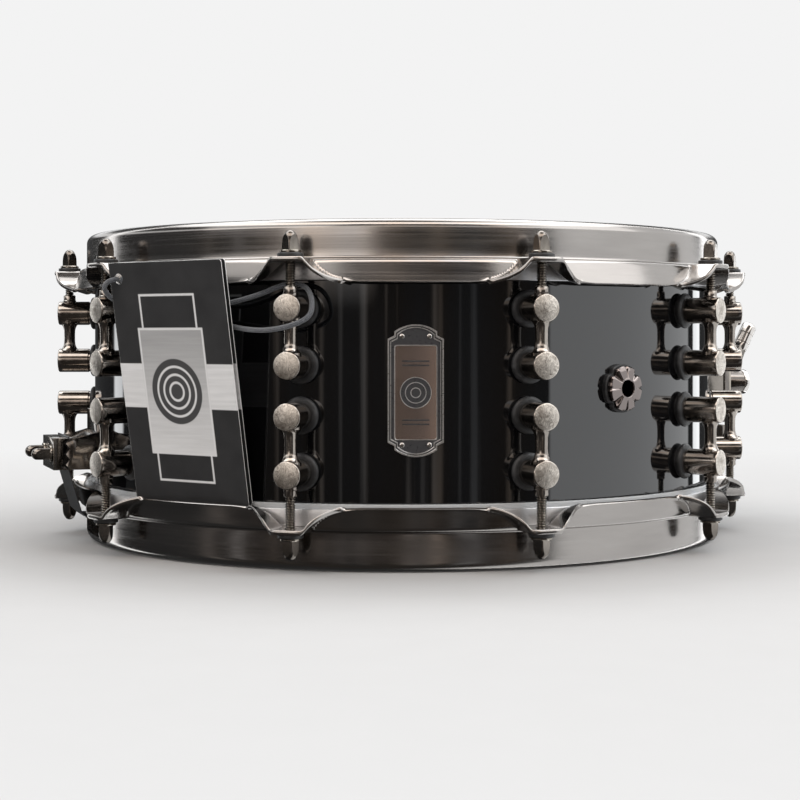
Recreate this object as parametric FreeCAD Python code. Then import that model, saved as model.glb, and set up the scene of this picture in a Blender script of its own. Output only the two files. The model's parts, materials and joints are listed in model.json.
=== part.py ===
import FreeCAD, Part
import math
import os

# Snare drum, 14 x 5.5 inch, in millimetres.
# Origin: centre of the plane of the snare-side hoop's rim, which the drum stands on. +Z goes up through the
# batter head. Directions round the drum are degrees from -Y, where the badge is, positive towards +X.

Vec = FreeCAD.Vector
UP = Vec(0, 0, 1)
ORIGIN = Vec(0, 0, 0)

# ---- driving dimensions -------------------------------------------------------------------------------
MIDDLE = 87.0              # height of the plane half way between the two rows of lugs

SHELL_R = 177.8            # outer radius of a 14 inch shell
SHELL_WALL = 7.5
SHELL_DEPTH = 140.0        # 5.5 inch
EDGE_ROUND = 1.0           # the bearing edge's peak stands this far in from the outer face

COLUMNS = [-162, -126, -90, -54, -18, 18, 54, 90, 126, 162]
ROD_CIRCLE = 194.4
POST_OUT = 39.7            # the outer post's height above or below the middle plane
POST_IN = 12.25
POST_R = 6.8
POST_FACE = 200.9          # radius of the posts' flat faces
WAIST_R = 3.1
FLARE_R = 5.4
WAIST_STEPS = 12
WAIST_POWER = 4            # a long slim waist that flares late, like a trumpet
COLLAR_R = 3.4
COLLAR_TOP = 50.2
BORE_DEPTH = 17.5
GASKET_R = 9.3
GASKET_THICK = 4.0

ROD_R = 2.5
RUNNING = 0.06             # radial clearance of a turning shaft in its hole
CLEAR = 0.05               # clearance of a fixed part in its hole or seat
LOOSE = 0.1                # clearance of a screw through the shell
DRILL_IN = 150.0           # radii between which a radial hole is drilled through everything
DRILL_OUT = 220.0
KEY_FLAT = 6.2             # across the flats of a square key head
KEY_HEIGHT = 9.6
KEY_BASE_R = 4.1
FLANGE_R = 5.2
FLANGE_THICK = 1.4
WASHER_R = 6.3
WASHER_THICK = 2.0

HOOP_WALL_R = 182.3
SHEET = 2.2
WALL_HEIGHT = 19.2         # from the rim to the ledge
LIP_R = 4.5                # the rim rolls inwards round this radius
LIP_INNER = 173.8
LEDGE_R = 185.2
SKIRT_R = 189.2
SKIRT_DROP = 11.5
EAR_REACH = 202.0
EAR_HALF = 7.6
EAR_CORNER = 4.0
HOOP_HOLE_R = 3.2
HOOP_TOP = 170.1           # height of the batter hoop's rim

BATTER_FILM = 0.25
SNARE_FILM = 0.12
CHANNEL_HEIGHT = 8.4       # flesh hoop
CHANNEL_IN = 178.5
CHANNEL_OUT = 183.1
CHANNEL_WALL = 1.2
CHANNEL_LIP = 5.4          # height of its low inner wall
COLLAR_FILM_R = 178.2      # the film's collar, just clear of the shell
SKIN_R = 180.4             # where the film goes down into the resin
BEAD_HALF = 0.6            # the resin bead, inside that radius
BEAD_OUT = 181.8
BEAD_LOW = 1.3
BEAD_TOP = 4.4
BEND_HEIGHT = 6.6
BEND_RISE = 1.8

SNARE_SIDE = -72           # direction of the butt plate
THROW_SIDE = 108           # direction of the throw-off
STRAP_HALF = 19.0
STRAP_THICK = 0.5
JAW_LOW = 41.5
JAW_HIGH = 58.5
JAW_FACE = 199.3
TOOTH_DEPTH = 2.2
TOOTH_COUNT = 3
JAW_HALF = 20.0
WIRE_COUNT = 20
WIRE_PITCH = 2.0
WIRE_R = 0.95
WIRE_HALF = 158.0
PLATE_END = 170.0
GATE_HALF = 22.0
GATE_LOW = 4.6
GATE_HIGH = 17.0

DROP = 7.0                 # travel of the throw-off's carriage
HUB_Z = 84.6
HUB_R = 7.3
CAM_R = 13.8
CAM_START = 4.5
PIN_R = 1.5
GROOVE_DEPTH = 3.6
GROOVE_STEPS = 26
KEY_POWER = 3.2            # how late the key head's corners round over

VENT_DIRECTION = 36
VENT_R = 4.2
VENT_FACE_R = 11.4
VENT_SEAL_R = 12.0
VENT_SEAL_THICK = 2.6
VENT_FACE_THICK = 3.6
VENT_NUT_R = 10.0
VENT_NUT_THICK = 3.2
VENT_LOBES = 8
LOBE = 2.2
BADGE_HALF = 13.5
BADGE_HALF_HEIGHT = 32.0

TAG_DIRECTION = -37.3
TAG_HALF = 37.5
TAG_LOW = Vec(182.5, 0, 30.6)
TAG_LEAN = 9.8
TAG_LENGTH = 121.0
TAG_LEAF = 0.5
TAG_GAPE = 2.2
EYELET_R = 2.8
CORD_R = 1.25

LUG_SCREW_R = 2.2
SCREW_WASHER_R = 4.6
SCREW_WASHER_THICK = 1.0
SCREW_HEAD_R = 3.4
SCREW_HEAD_THICK = 2.4

BADGE_SCREW_R = 0.9
BADGE_PIN = 5.0
BADGE_DOME_R = 1.9
BADGE_FIELD_DEPTH = 0.5
BADGE_FRAME = 1.3
NECK_IN = 3.2              # the arched ends stand this far inside the badge's sides
SHOULDER_DOWN = 7.0
SHOULDER_RISE = 1.6
SPRING_DOWN = 3.4
BADGE_SCREWS = [(x, MIDDLE + z) for x in (-6.6, 6.6) for z in (-26.2, 26.2)]
BADGE_THICK = 1.3
VENT_TUBE_R = 6.0

BRACKET_SCREW_R = 2.0
BRACKET_THREAD = 3.2       # how far a screw reaches into a bracket
BUTT_SCREW_Z = [(-11.0, 66.5), (11.0, 66.5)]
THROW_SCREW_Z = [(0.0, 68.0), (0.0, 109.0)]
CLAMP_SCREW_Y = (-12.5, 12.5)
CLAMP_Z = 50.0
CLAMP_SCREW_R = 1.5
CLAMP_FLANGE_R = 4.6
CLAMP_FLANGE_THICK = 1.3
STRAP_GAP = STRAP_THICK + 0.4   # between the jaws
OUTER_JAW_THICK = 5.6

FOOT_HALF = 16.0
FOOT_TOP = 73.0
FOOT_FACE = SHELL_R + 4.2

BOX_HALF = 16.5
BOX_LOW = 60.0
BOX_HIGH = 102.2
BOX_FRONT = 206.5
COVER_FRONT = 212.0
CAVITY_BACK = 190.0
CAVITY_HALF = 14.2
CARRIAGE_FRONT = 200.6
CARRIAGE_TOP = 83.0
KNOB_X = 195.3
KNOB_LOW = 110.5
SHAFT_R = 4.0
HUB_END = 228.0
HUB_CAP = 3.0
ARM_HALF = 4.2
GRIP_START = Vec(227.8, 0, 104.6)
GRIP_LEAN = 26.6           # degrees outwards from upright
GRIP_LENGTH = 19.0
GRIP_R = 4.6
GRIP_ROUND = 2.6

parts = {}


def put(name, *solids):
    """Keeps one node: one solid, or a group of separate solids."""
    parts[name] = solids[0] if len(solids) == 1 else Part.makeCompound(list(solids))


def around(shape, direction):
    """Turns a copy of a shape built on the +X side to a direction round the drum."""
    turned = shape.copy()
    turned.rotate(ORIGIN, UP, direction - 90)
    return turned


def over(shape, height=2 * MIDDLE):
    """A copy of a shape mirrored top to bottom about the plane at half of height."""
    return shape.mirror(Vec(0, 0, height / 2), UP)


def revolve(points):
    """A solid of revolution about Z from a closed outline of (radius, z) points."""
    outline = [Vec(r, 0, z) for r, z in points]
    face = Part.Face(Part.makePolygon(outline + outline[:1]))
    return face.revolve(ORIGIN, UP, 360)


def block(x0, x1, y0, y1, z0, z1):
    return Part.makeBox(x1 - x0, y1 - y0, z1 - z0, Vec(x0, y0, z0))


def bar_x(radius, x0, x1, y, z):
    """A cylinder along the local radial direction."""
    return Part.makeCylinder(radius, x1 - x0, Vec(x0, y, z), Vec(1, 0, 0))


def bar_z(radius, z0, z1, x, y=0.0):
    return Part.makeCylinder(radius, z1 - z0, Vec(x, y, z0), UP)


def prism_y(points, half):
    """A prism along the local tangent from an outline of (x, z) points."""
    outline = [Vec(x, -half, z) for x, z in points]
    face = Part.Face(Part.makePolygon(outline + outline[:1]))
    return face.extrude(Vec(0, 2 * half, 0))


def arc_points(cx, cz, radius, start, end, steps):
    """Points along an arc, in degrees, for an outline."""
    found = []
    for i in range(steps + 1):
        t = math.radians(start + (end - start) * i / steps)
        found.append((cx + radius * math.cos(t), cz + radius * math.sin(t)))
    return found


# ---- shell --------------------------------------------------------------------------------------------
def shell():
    low = MIDDLE - SHELL_DEPTH / 2
    high = MIDDLE + SHELL_DEPTH / 2
    inner = SHELL_R - SHELL_WALL
    peak = SHELL_R - EDGE_ROUND
    bevel = peak - inner
    body = revolve([
        (inner, low + bevel), (peak, low), (SHELL_R, low + EDGE_ROUND),
        (SHELL_R, high - EDGE_ROUND), (peak, high), (inner, high - bevel),
    ])
    holes = []
    for direction in COLUMNS:
        for z in post_heights():
            holes.append(around(bar_x(LUG_SCREW_R + 2 * LOOSE, DRILL_IN, DRILL_OUT, 0, z), direction))
    for direction, heights in ((THROW_SIDE, THROW_SCREW_Z), (SNARE_SIDE, BUTT_SCREW_Z)):
        for y, z in heights:
            holes.append(around(bar_x(BRACKET_SCREW_R + 2 * LOOSE, DRILL_IN, DRILL_OUT, y, z), direction))
    holes.append(around(bar_x(VENT_TUBE_R + LOOSE, DRILL_IN, DRILL_OUT, 0, MIDDLE), VENT_DIRECTION))
    for x, z in BADGE_SCREWS:
        bottom = Vec(x, -SHELL_R + BADGE_PIN, z)
        holes.append(Part.makeCylinder(BADGE_SCREW_R + CLEAR, 2 * BADGE_PIN, bottom, Vec(0, -1, 0)))
    return body.cut(holes)


def post_heights():
    return [MIDDLE + z for z in (-POST_OUT, -POST_IN, POST_IN, POST_OUT)]


# ---- hoops --------------------------------------------------------------------------------------------
def hoop_ring(rim, down):
    """The rolled rim, wall, ledge and skirt. down is -1 on the batter side, whose skirt hangs down."""
    inner = HOOP_WALL_R - SHEET
    roll = rim + down * LIP_R
    ledge = rim + down * WALL_HEIGHT
    outer = arc_points(HOOP_WALL_R - LIP_R, 0, LIP_R, 0, 90, 5)
    inside = arc_points(HOOP_WALL_R - LIP_R, 0, LIP_R - SHEET, 90, 0, 4)
    points = [(LEDGE_R, ledge), (HOOP_WALL_R, ledge)]
    points += [(r, roll - down * z) for r, z in outer]
    points += [(LIP_INNER, rim), (LIP_INNER, rim + down * SHEET)]
    points += [(r, roll - down * z) for r, z in inside]
    points += [
        (inner, ledge + down * SHEET),
        (LEDGE_R - 1.6, ledge + down * SHEET),
        (SKIRT_R - SHEET - 0.1, ledge + down * SKIRT_DROP),
        (SKIRT_R, ledge + down * SKIRT_DROP),
    ]
    return revolve(points)


def skirt_notch(ledge, down):
    """The space cut from the skirt at an ear: narrow by the ear, then flaring to the skirt's edge."""
    points = [
        (-24, SKIRT_DROP + 2), (-24, SKIRT_DROP), (-14, 9.6), (-EAR_HALF - 1, SHEET),
        (EAR_HALF + 1, SHEET), (14, 9.6), (24, SKIRT_DROP), (24, SKIRT_DROP + 2),
    ]
    outline = [Vec(HOOP_WALL_R + 0.8, y, ledge + down * depth) for y, depth in points]
    face = Part.Face(Part.makePolygon(outline + outline[:1]))
    return face.extrude(Vec(12, 0, 0))


def hoop(rim, down):
    ledge = rim + down * WALL_HEIGHT
    ring = hoop_ring(rim, down)
    notches = [around(skirt_notch(ledge, down), d) for d in COLUMNS]
    ring = ring.cut(notches)
    ears = []
    for direction in COLUMNS:
        low = min(ledge, ledge + down * SHEET)
        ear = block(HOOP_WALL_R - 1, EAR_REACH, -EAR_HALF, EAR_HALF, low, low + SHEET)
        corners = [e for e in ear.Edges if e.BoundBox.XMin > EAR_REACH - 0.1 and e.BoundBox.ZLength > 1]
        ear = ear.makeFillet(EAR_CORNER, corners)
        ears.append(around(ear, direction))
    body = ring.fuse(ears).removeSplitter()
    holes = [around(bar_z(HOOP_HOLE_R, ledge - 5, ledge + 5, ROD_CIRCLE), d) for d in COLUMNS]
    return body.cut(holes)


def gates(hoop_shape):
    """Cuts the two windows that the snare straps pass through."""
    window = block(HOOP_WALL_R - 4, HOOP_WALL_R + 2, -GATE_HALF, GATE_HALF, GATE_LOW, GATE_HIGH)
    return hoop_shape.cut([around(window, SNARE_SIDE), around(window, THROW_SIDE)])


# ---- heads --------------------------------------------------------------------------------------------
def flesh_hoop():
    """An open channel under the batter hoop's ledge, which presses on its outer wall."""
    top = HOOP_TOP - WALL_HEIGHT - SHEET
    low = top - CHANNEL_HEIGHT
    outer_face = CHANNEL_OUT - CHANNEL_WALL
    inner_face = CHANNEL_IN + CHANNEL_WALL
    return revolve([
        (CHANNEL_IN, low), (CHANNEL_OUT, low), (CHANNEL_OUT, top), (outer_face, top),
        (outer_face, low + CHANNEL_WALL), (inner_face, low + CHANNEL_WALL),
        (inner_face, low + CHANNEL_LIP), (CHANNEL_IN, low + CHANNEL_LIP),
    ])


def head(edge, film, channel_low):
    """Film over the bearing edge, down into the flesh hoop, with its rim set in a bead of resin."""
    bend = channel_low + BEND_HEIGHT
    peak = SHELL_R - EDGE_ROUND
    drop = edge - (COLLAR_FILM_R - peak)
    bead_low = channel_low + BEAD_LOW
    bead_top = channel_low + BEAD_TOP
    return revolve([
        (0, edge), (peak, edge), (COLLAR_FILM_R, drop), (COLLAR_FILM_R + 0.1, bend + BEND_RISE),
        (SKIN_R, bend), (SKIN_R, bead_top), (SKIN_R - BEAD_HALF, bead_top), (SKIN_R - BEAD_HALF, bead_low),
        (BEAD_OUT, bead_low), (BEAD_OUT, bead_top), (SKIN_R + film, bead_top), (SKIN_R + film, bend + film),
        (COLLAR_FILM_R + 0.1 + film, bend + BEND_RISE + film), (COLLAR_FILM_R + film, drop + film),
        (peak, edge + film), (0, edge + film),
    ])


# ---- lugs and rods ------------------------------------------------------------------------------------
def lug():
    """The upper casting of a column: two posts joined by a waisted barrel, with the rod's blind bore."""
    back = SHELL_R + GASKET_THICK
    outer_z = MIDDLE + POST_OUT
    inner_z = MIDDLE + POST_IN
    body = bar_x(POST_R, back, POST_FACE, 0, outer_z)
    body = body.fuse(bar_x(POST_R, back, POST_FACE, 0, inner_z))
    half = (outer_z - inner_z) / 2
    centre = (outer_z + inner_z) / 2
    profile = [(0, -half), (FLARE_R, -half)]
    for i in range(WAIST_STEPS + 1):
        t = -1 + 2 * i / WAIST_STEPS
        radius = WAIST_R + (FLARE_R - WAIST_R) * abs(t) ** WAIST_POWER
        profile.append((radius, t * (half - POST_R + 1)))
    profile += [(FLARE_R, half), (0, half)]
    barrel = revolve(profile)
    barrel.translate(Vec(ROD_CIRCLE, 0, centre))
    collar = bar_z(COLLAR_R, outer_z, MIDDLE + COLLAR_TOP, ROD_CIRCLE)
    body = body.fuse([barrel, collar]).removeSplitter()
    cuts = [bar_z(ROD_R + RUNNING, MIDDLE + COLLAR_TOP - BORE_DEPTH, MIDDLE + COLLAR_TOP + 1, ROD_CIRCLE)]
    for z in (inner_z, outer_z):
        cuts.append(bar_x(LUG_SCREW_R + CLEAR, back - 1, back + 8.0, 0, z))
    return body.cut(cuts)


def gaskets():
    made = []
    for direction in COLUMNS:
        for z in post_heights():
            ring = bar_x(GASKET_R, SHELL_R - 1, SHELL_R + GASKET_THICK, 0, z)
            rim = [e for e in ring.Edges if e.BoundBox.XMin > SHELL_R + GASKET_THICK - 0.1]
            ring = ring.makeFillet(1.4, rim)
            ring = ring.cut(bar_x(LUG_SCREW_R + 0.3, 170, 190, 0, z))
            ring = ring.cut(shell_core())
            made.append(around(ring, direction))
    return made


def shell_screw(radius, length, y, z):
    """A screw from inside the shell: a washer, a pan head with a slot, and a shank pointing outwards."""
    inner = SHELL_R - SHELL_WALL
    seat = math.sqrt(inner ** 2 - (abs(y) + SCREW_WASHER_R) ** 2) - CLEAR
    under = seat - SCREW_WASHER_THICK
    back = under - SCREW_HEAD_THICK
    screw = bar_x(radius, seat, length, y, z)
    screw = screw.fuse([bar_x(SCREW_WASHER_R, under, seat, y, z), bar_x(SCREW_HEAD_R, back, under, y, z)])
    return screw.cut(block(back - 1, back + 1.4, y - 0.5, y + 0.5, z - SCREW_WASHER_R, z + SCREW_WASHER_R))


def lug_screws():
    """A flanged screw through the shell into each post."""
    made = []
    for direction in COLUMNS:
        for z in post_heights():
            made.append(around(shell_screw(LUG_SCREW_R, SHELL_R + GASKET_THICK + 7.5, 0, z), direction))
    return made


def key_head(length, direction, start):
    """A square drum-key head whose corners are trimmed to a bullet, so each flat ends in an arch."""
    bullet = [(0, 0), (KEY_BASE_R, 0)]
    for i in range(1, 9):
        t = i / 8
        bullet.append((KEY_BASE_R * math.sqrt(max(0.0, 1 - t ** KEY_POWER)), length * t))
    solid = revolve(bullet)
    square = block(-KEY_FLAT / 2, KEY_FLAT / 2, -KEY_FLAT / 2, KEY_FLAT / 2, -1, length + 1)
    solid = solid.common(square)
    solid.Placement = FreeCAD.Placement(start, FreeCAD.Rotation(UP, direction))
    return solid


def tension_rod():
    """A batter-side rod: key head, flange and shank, at the +X side."""
    seat = HOOP_TOP - WALL_HEIGHT + WASHER_THICK
    end = MIDDLE + COLLAR_TOP - BORE_DEPTH + 1.0
    body = bar_z(ROD_R, end, seat + 0.5, ROD_CIRCLE)
    flange = bar_z(FLANGE_R, seat, seat + FLANGE_THICK, ROD_CIRCLE)
    start = Vec(ROD_CIRCLE, 0, seat + FLANGE_THICK)
    return body.fuse([flange, key_head(KEY_HEIGHT, UP, start)]).removeSplitter()


def tension_washer():
    seat = HOOP_TOP - WALL_HEIGHT
    ring = bar_z(WASHER_R, seat, seat + WASHER_THICK, ROD_CIRCLE)
    return ring.cut(bar_z(ROD_R + RUNNING, seat - 1, seat + 5, ROD_CIRCLE))


# ---- badge and vent -----------------------------------------------------------------------------------
def badge_outline(inset):
    """The badge's front outline: arched ends with a shoulder where the sides step out."""
    half = BADGE_HALF - inset
    neck = half - NECK_IN
    tip = BADGE_HALF_HEIGHT - inset
    shoulder = tip - SHOULDER_DOWN
    step = shoulder + SHOULDER_RISE
    spring = tip - SPRING_DOWN

    def at(x, z):
        return Vec(x, -SHELL_R - BADGE_PIN, MIDDLE + z)

    corners = [
        at(neck, -spring), at(neck, -step), at(half, -shoulder), at(half, shoulder), at(neck, step),
        at(neck, spring),
    ]
    edges = [Part.makeLine(a, b) for a, b in zip(corners, corners[1:])]
    edges.append(Part.Arc(at(neck, spring), at(0, tip), at(-neck, spring)).toShape())
    mirrored = [Vec(-p.x, p.y, p.z) for p in reversed(corners)]
    edges += [Part.makeLine(a, b) for a, b in zip(mirrored, mirrored[1:])]
    edges.append(Part.Arc(at(-neck, -spring), at(0, -tip), at(neck, -spring)).toShape())
    return Part.Face(Part.Wire(edges)).extrude(Vec(0, 2 * BADGE_PIN, 0))


def shell_core():
    """The space inside the shell's outer face."""
    return Part.makeCylinder(SHELL_R, HOOP_TOP, ORIGIN, UP)


def shell_ring(inner, outer):
    tube = Part.makeCylinder(outer, HOOP_TOP, ORIGIN, UP)
    return tube.cut(Part.makeCylinder(inner, HOOP_TOP, ORIGIN, UP))


def badge_plate():
    face = SHELL_R + BADGE_THICK
    plate = badge_outline(0).common(shell_ring(SHELL_R, face))
    field = badge_outline(BADGE_FRAME).common(shell_ring(face - BADGE_FIELD_DEPTH, face + 2))
    plate = plate.cut(field)
    holes = []
    for x, z in BADGE_SCREWS:
        bottom = Vec(x, -SHELL_R + BADGE_PIN, z)
        holes.append(Part.makeCylinder(BADGE_SCREW_R + CLEAR, 2 * BADGE_PIN, bottom, Vec(0, -1, 0)))
    return plate.cut(holes)


def badge_screws():
    made = []
    for x, z in BADGE_SCREWS:
        surface = math.sqrt((SHELL_R + BADGE_THICK - BADGE_FIELD_DEPTH) ** 2 - x ** 2) + 0.15
        start = Vec(x, -surface, z)
        pin = Part.makeCylinder(BADGE_SCREW_R, BADGE_PIN, start, Vec(0, 1, 0))
        dome = Part.makeSphere(BADGE_DOME_R, start + Vec(0, 1.0, 0), Vec(0, -1, 0), 0, 90, 360)
        cap = dome.common(Part.makeBox(6, 4, 6, start + Vec(-3, -4, -3)))
        made.append(pin.fuse(cap).removeSplitter())
    return made


def petal_disc(radius, lobe, x0, x1):
    """A disc with eight rounded lobes round its rim."""
    disc = bar_x(radius - lobe, x0, x1, 0, MIDDLE)
    lobes = []
    round_r = 1.6 * lobe
    reach = radius - round_r
    for i in range(VENT_LOBES):
        t = 2 * math.pi * (i + 0.5) / VENT_LOBES
        lobes.append(bar_x(round_r, x0, x1, reach * math.cos(t), MIDDLE + reach * math.sin(t)))
    return disc.fuse(lobes).removeSplitter()


def vent():
    face = SHELL_R + VENT_SEAL_THICK
    front = petal_disc(VENT_FACE_R, LOBE, face, face + VENT_FACE_THICK)
    back = SHELL_R - SHELL_WALL - VENT_NUT_THICK
    tube = bar_x(VENT_TUBE_R, back - 3, face + 1, 0, MIDDLE)
    grommet = front.fuse(tube).cut(bar_x(VENT_R, DRILL_IN, DRILL_OUT, 0, MIDDLE))
    gasket = petal_disc(VENT_SEAL_R, LOBE, SHELL_R - 2, face)
    gasket = gasket.cut([shell_core(), bar_x(VENT_TUBE_R + LOOSE, DRILL_IN, DRILL_OUT, 0, MIDDLE)])
    seat = math.sqrt((SHELL_R - SHELL_WALL) ** 2 - VENT_NUT_R ** 2) - CLEAR
    nut = bar_x(VENT_NUT_R, seat - VENT_NUT_THICK, seat, 0, MIDDLE)
    nut = nut.cut(bar_x(VENT_TUBE_R + CLEAR, DRILL_IN, DRILL_OUT, 0, MIDDLE))
    return [around(shape, VENT_DIRECTION) for shape in (grommet, gasket, nut)]


# ---- snare clamp, shared by the butt plate and the throw-off ---------------------------------------------
def tooth_line(offset):
    """The zigzag where the two jaws meet, as (x, z) points from the top down."""
    pitch = (JAW_HIGH - JAW_LOW) / TOOTH_COUNT
    line = []
    for i in range(TOOTH_COUNT):
        top = JAW_HIGH - i * pitch
        line.append((JAW_FACE - TOOTH_DEPTH + offset, top))
        line.append((JAW_FACE + offset, top - pitch / 2))
    line.append((JAW_FACE - TOOTH_DEPTH + offset, JAW_LOW))
    return line


def clamp_holes(radius, x0, x1):
    return [bar_x(radius, x0, x1, y, CLAMP_Z) for y in CLAMP_SCREW_Y]


def inner_jaw(root):
    jaw = prism_y([(root, JAW_LOW), (root, JAW_HIGH)] + tooth_line(0), JAW_HALF)
    return jaw.cut(clamp_holes(CLAMP_SCREW_R + CLEAR, JAW_FACE - 9, JAW_FACE + 3))


def outer_jaw():
    front = JAW_FACE + STRAP_GAP + OUTER_JAW_THICK
    jaw = prism_y(tooth_line(STRAP_GAP) + [(front, JAW_LOW), (front, JAW_HIGH)], JAW_HALF)
    return jaw.cut(clamp_holes(CLAMP_SCREW_R + 2 * LOOSE, JAW_FACE - 3, front + 2))


def clamp_screws():
    seat = JAW_FACE + STRAP_GAP + OUTER_JAW_THICK
    top = seat + CLAMP_FLANGE_THICK
    made = []
    for y in CLAMP_SCREW_Y:
        shank = bar_x(CLAMP_SCREW_R, JAW_FACE - 8, seat + 0.5, y, CLAMP_Z)
        flange = bar_x(CLAMP_FLANGE_R, seat, top, y, CLAMP_Z)
        key = key_head(KEY_HEIGHT, Vec(1, 0, 0), Vec(top, y, CLAMP_Z))
        made.append(shank.fuse([flange, key]).removeSplitter())
    return made


def strap():
    """The ribbon gripped by the jaws, led down outside the hoop's skirt and in through its gate."""
    thick = STRAP_THICK
    inside = tooth_line((STRAP_GAP - thick) / 2)
    outside = tooth_line((STRAP_GAP + thick) / 2)
    low_in = [(190.6, 19.0), (187.2, 15.4), (163.0, 14.1)]
    low_out = [(190.6 + thick, 18.7), (187.3, 15.4 - thick), (163.0, 14.1 - thick)]
    tail = JAW_HIGH + 1.0
    outline = [inside[0], (inside[0][0], tail), (outside[0][0], tail)]
    outline += outside + low_out + low_in[::-1] + inside[:0:-1]
    ribbon = prism_y(outline, STRAP_HALF)
    return ribbon.cut(clamp_holes(CLAMP_SCREW_R + 3 * LOOSE, JAW_FACE - 4, JAW_FACE + 4))


# ---- butt plate -----------------------------------------------------------------------------------------
def butt_base():
    foot = block(SHELL_R - 4, FOOT_FACE, -FOOT_HALF, FOOT_HALF, JAW_LOW, FOOT_TOP).cut(shell_core())
    root = JAW_FACE - 7
    arm = prism_y([
        (SHELL_R + 1, JAW_LOW), (SHELL_R + 1, JAW_HIGH + 4), (root, JAW_HIGH), (root, JAW_LOW),
    ], JAW_HALF).cut(shell_core())
    body = foot.fuse([arm, inner_jaw(root - 1)]).removeSplitter()
    reach = SHELL_R + BRACKET_THREAD + 0.2
    holes = [bar_x(BRACKET_SCREW_R + CLEAR, DRILL_IN, reach, y, z) for y, z in BUTT_SCREW_Z]
    return body.cut(holes + clamp_holes(CLAMP_SCREW_R + CLEAR, JAW_FACE - 9, JAW_FACE + 3))


def bracket_screws():
    """The screws through the shell that hold the butt plate and the throw-off."""
    made = []
    for direction, places in ((SNARE_SIDE, BUTT_SCREW_Z), (THROW_SIDE, THROW_SCREW_Z)):
        for y, z in places:
            made.append(around(shell_screw(BRACKET_SCREW_R, SHELL_R + BRACKET_THREAD, y, z), direction))
    return made


# ---- throw-off ------------------------------------------------------------------------------------------
def throw_base():
    foot = block(174, SHELL_R + 4.5, -13, 13, 60.0, 116.0)
    box = block(174, BOX_FRONT, -BOX_HALF, BOX_HALF, BOX_LOW, BOX_HIGH)
    body = foot.fuse(box).cut(shell_core())
    cavity = block(CAVITY_BACK, BOX_FRONT + 1, -CAVITY_HALF, CAVITY_HALF, BOX_LOW - 1, BOX_HIGH - 3)
    holes = [cavity, bar_z(2.4, BOX_HIGH - 5, BOX_HIGH + 2, KNOB_X)]
    reach = SHELL_R + BRACKET_THREAD + 0.2
    holes += [bar_x(BRACKET_SCREW_R + CLEAR, DRILL_IN, reach, y, z) for y, z in THROW_SCREW_Z]
    holes += [bar_x(0.85, BOX_FRONT - 7, BOX_FRONT + 1, y, z) for y, z in cover_screw_places()]
    return body.cut(holes)


def cover_screw_places():
    return [(y, z) for y in (-BOX_HALF + 1.3, BOX_HALF - 1.3) for z in (BOX_LOW + 3, BOX_HIGH - 3)]


def throw_cover():
    plate = block(BOX_FRONT, COVER_FRONT, -BOX_HALF, BOX_HALF, BOX_LOW, BOX_HIGH)
    corners = [e for e in plate.Edges if e.BoundBox.XLength > 1]
    plate = plate.makeFillet(2.0, corners)
    holes = [bar_x(SHAFT_R + RUNNING, 200, 220, 0, HUB_Z)]
    for y, z in cover_screw_places():
        holes.append(bar_x(0.85, 200, 220, y, z))
        holes.append(bar_x(1.5, COVER_FRONT - 1.2, 220, y, z))
    return plate.cut(holes)


def cover_screws():
    made = []
    for y, z in cover_screw_places():
        shank = bar_x(0.8, BOX_FRONT - 6, COVER_FRONT - 1.0, y, z)
        made.append(shank.fuse(bar_x(1.4, COVER_FRONT - 1.15, COVER_FRONT - 0.1, y, z)).removeSplitter())
    return made


def cam_disc():
    """A face cam: a quarter turn of its spiral groove lowers the carriage's pin by the full drop."""
    disc = bar_x(CAM_R, CARRIAGE_FRONT + 0.4, BOX_FRONT - 0.5, 0, HUB_Z)
    half = PIN_R + RUNNING
    cuts = []
    for i in range(GROOVE_STEPS + 1):
        turn = math.radians(-3 + 96 * i / GROOVE_STEPS)
        reach = CAM_START + DROP * turn / (math.pi / 2)
        y = -reach * math.sin(turn)
        z = HUB_Z - reach * math.cos(turn)
        cuts.append(bar_x(half, CARRIAGE_FRONT, CARRIAGE_FRONT + GROOVE_DEPTH, y, z))
    links = []
    for a, b in zip(cuts, cuts[1:]):
        first = a.BoundBox.Center
        second = b.BoundBox.Center
        run = Vec(0, second.y - first.y, second.z - first.z)
        side = Vec(0, -run.z, run.y)
        side.normalize()
        corners = [Vec(CARRIAGE_FRONT, p.y, p.z) + side * s for p, s in
                   ((first, half), (second, half), (second, -half), (first, -half))]
        face = Part.Face(Part.makePolygon(corners + corners[:1]))
        links.append(face.extrude(Vec(GROOVE_DEPTH, 0, 0)))
    disc = disc.cut(cuts + links)
    return disc.cut(bar_x(SHAFT_R, 190, 220, 0, HUB_Z))


def throw_lever():
    shaft = bar_x(SHAFT_R, CARRIAGE_FRONT + 4.4, COVER_FRONT + 2, 0, HUB_Z)
    hub = bar_x(HUB_R, COVER_FRONT + 0.3, HUB_END, 0, HUB_Z)
    cap = bar_x(HUB_R + 0.5, HUB_END, HUB_END + HUB_CAP, 0, HUB_Z)
    arm = prism_y([(215.5, HUB_Z), (222.5, HUB_Z), (231.0, 106.4), (226.4, 108.2)], ARM_HALF)
    return shaft.fuse([hub, cap, arm]).removeSplitter()


def lever_grip():
    lean = math.radians(GRIP_LEAN)
    along = Vec(math.sin(lean), 0, math.cos(lean))
    barrel = Part.makeCylinder(GRIP_R, GRIP_LENGTH, GRIP_START, along)
    barrel = barrel.makeFillet(GRIP_ROUND, [e for e in barrel.Edges if e.Length > 20])
    return barrel.cut(throw_lever())


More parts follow.
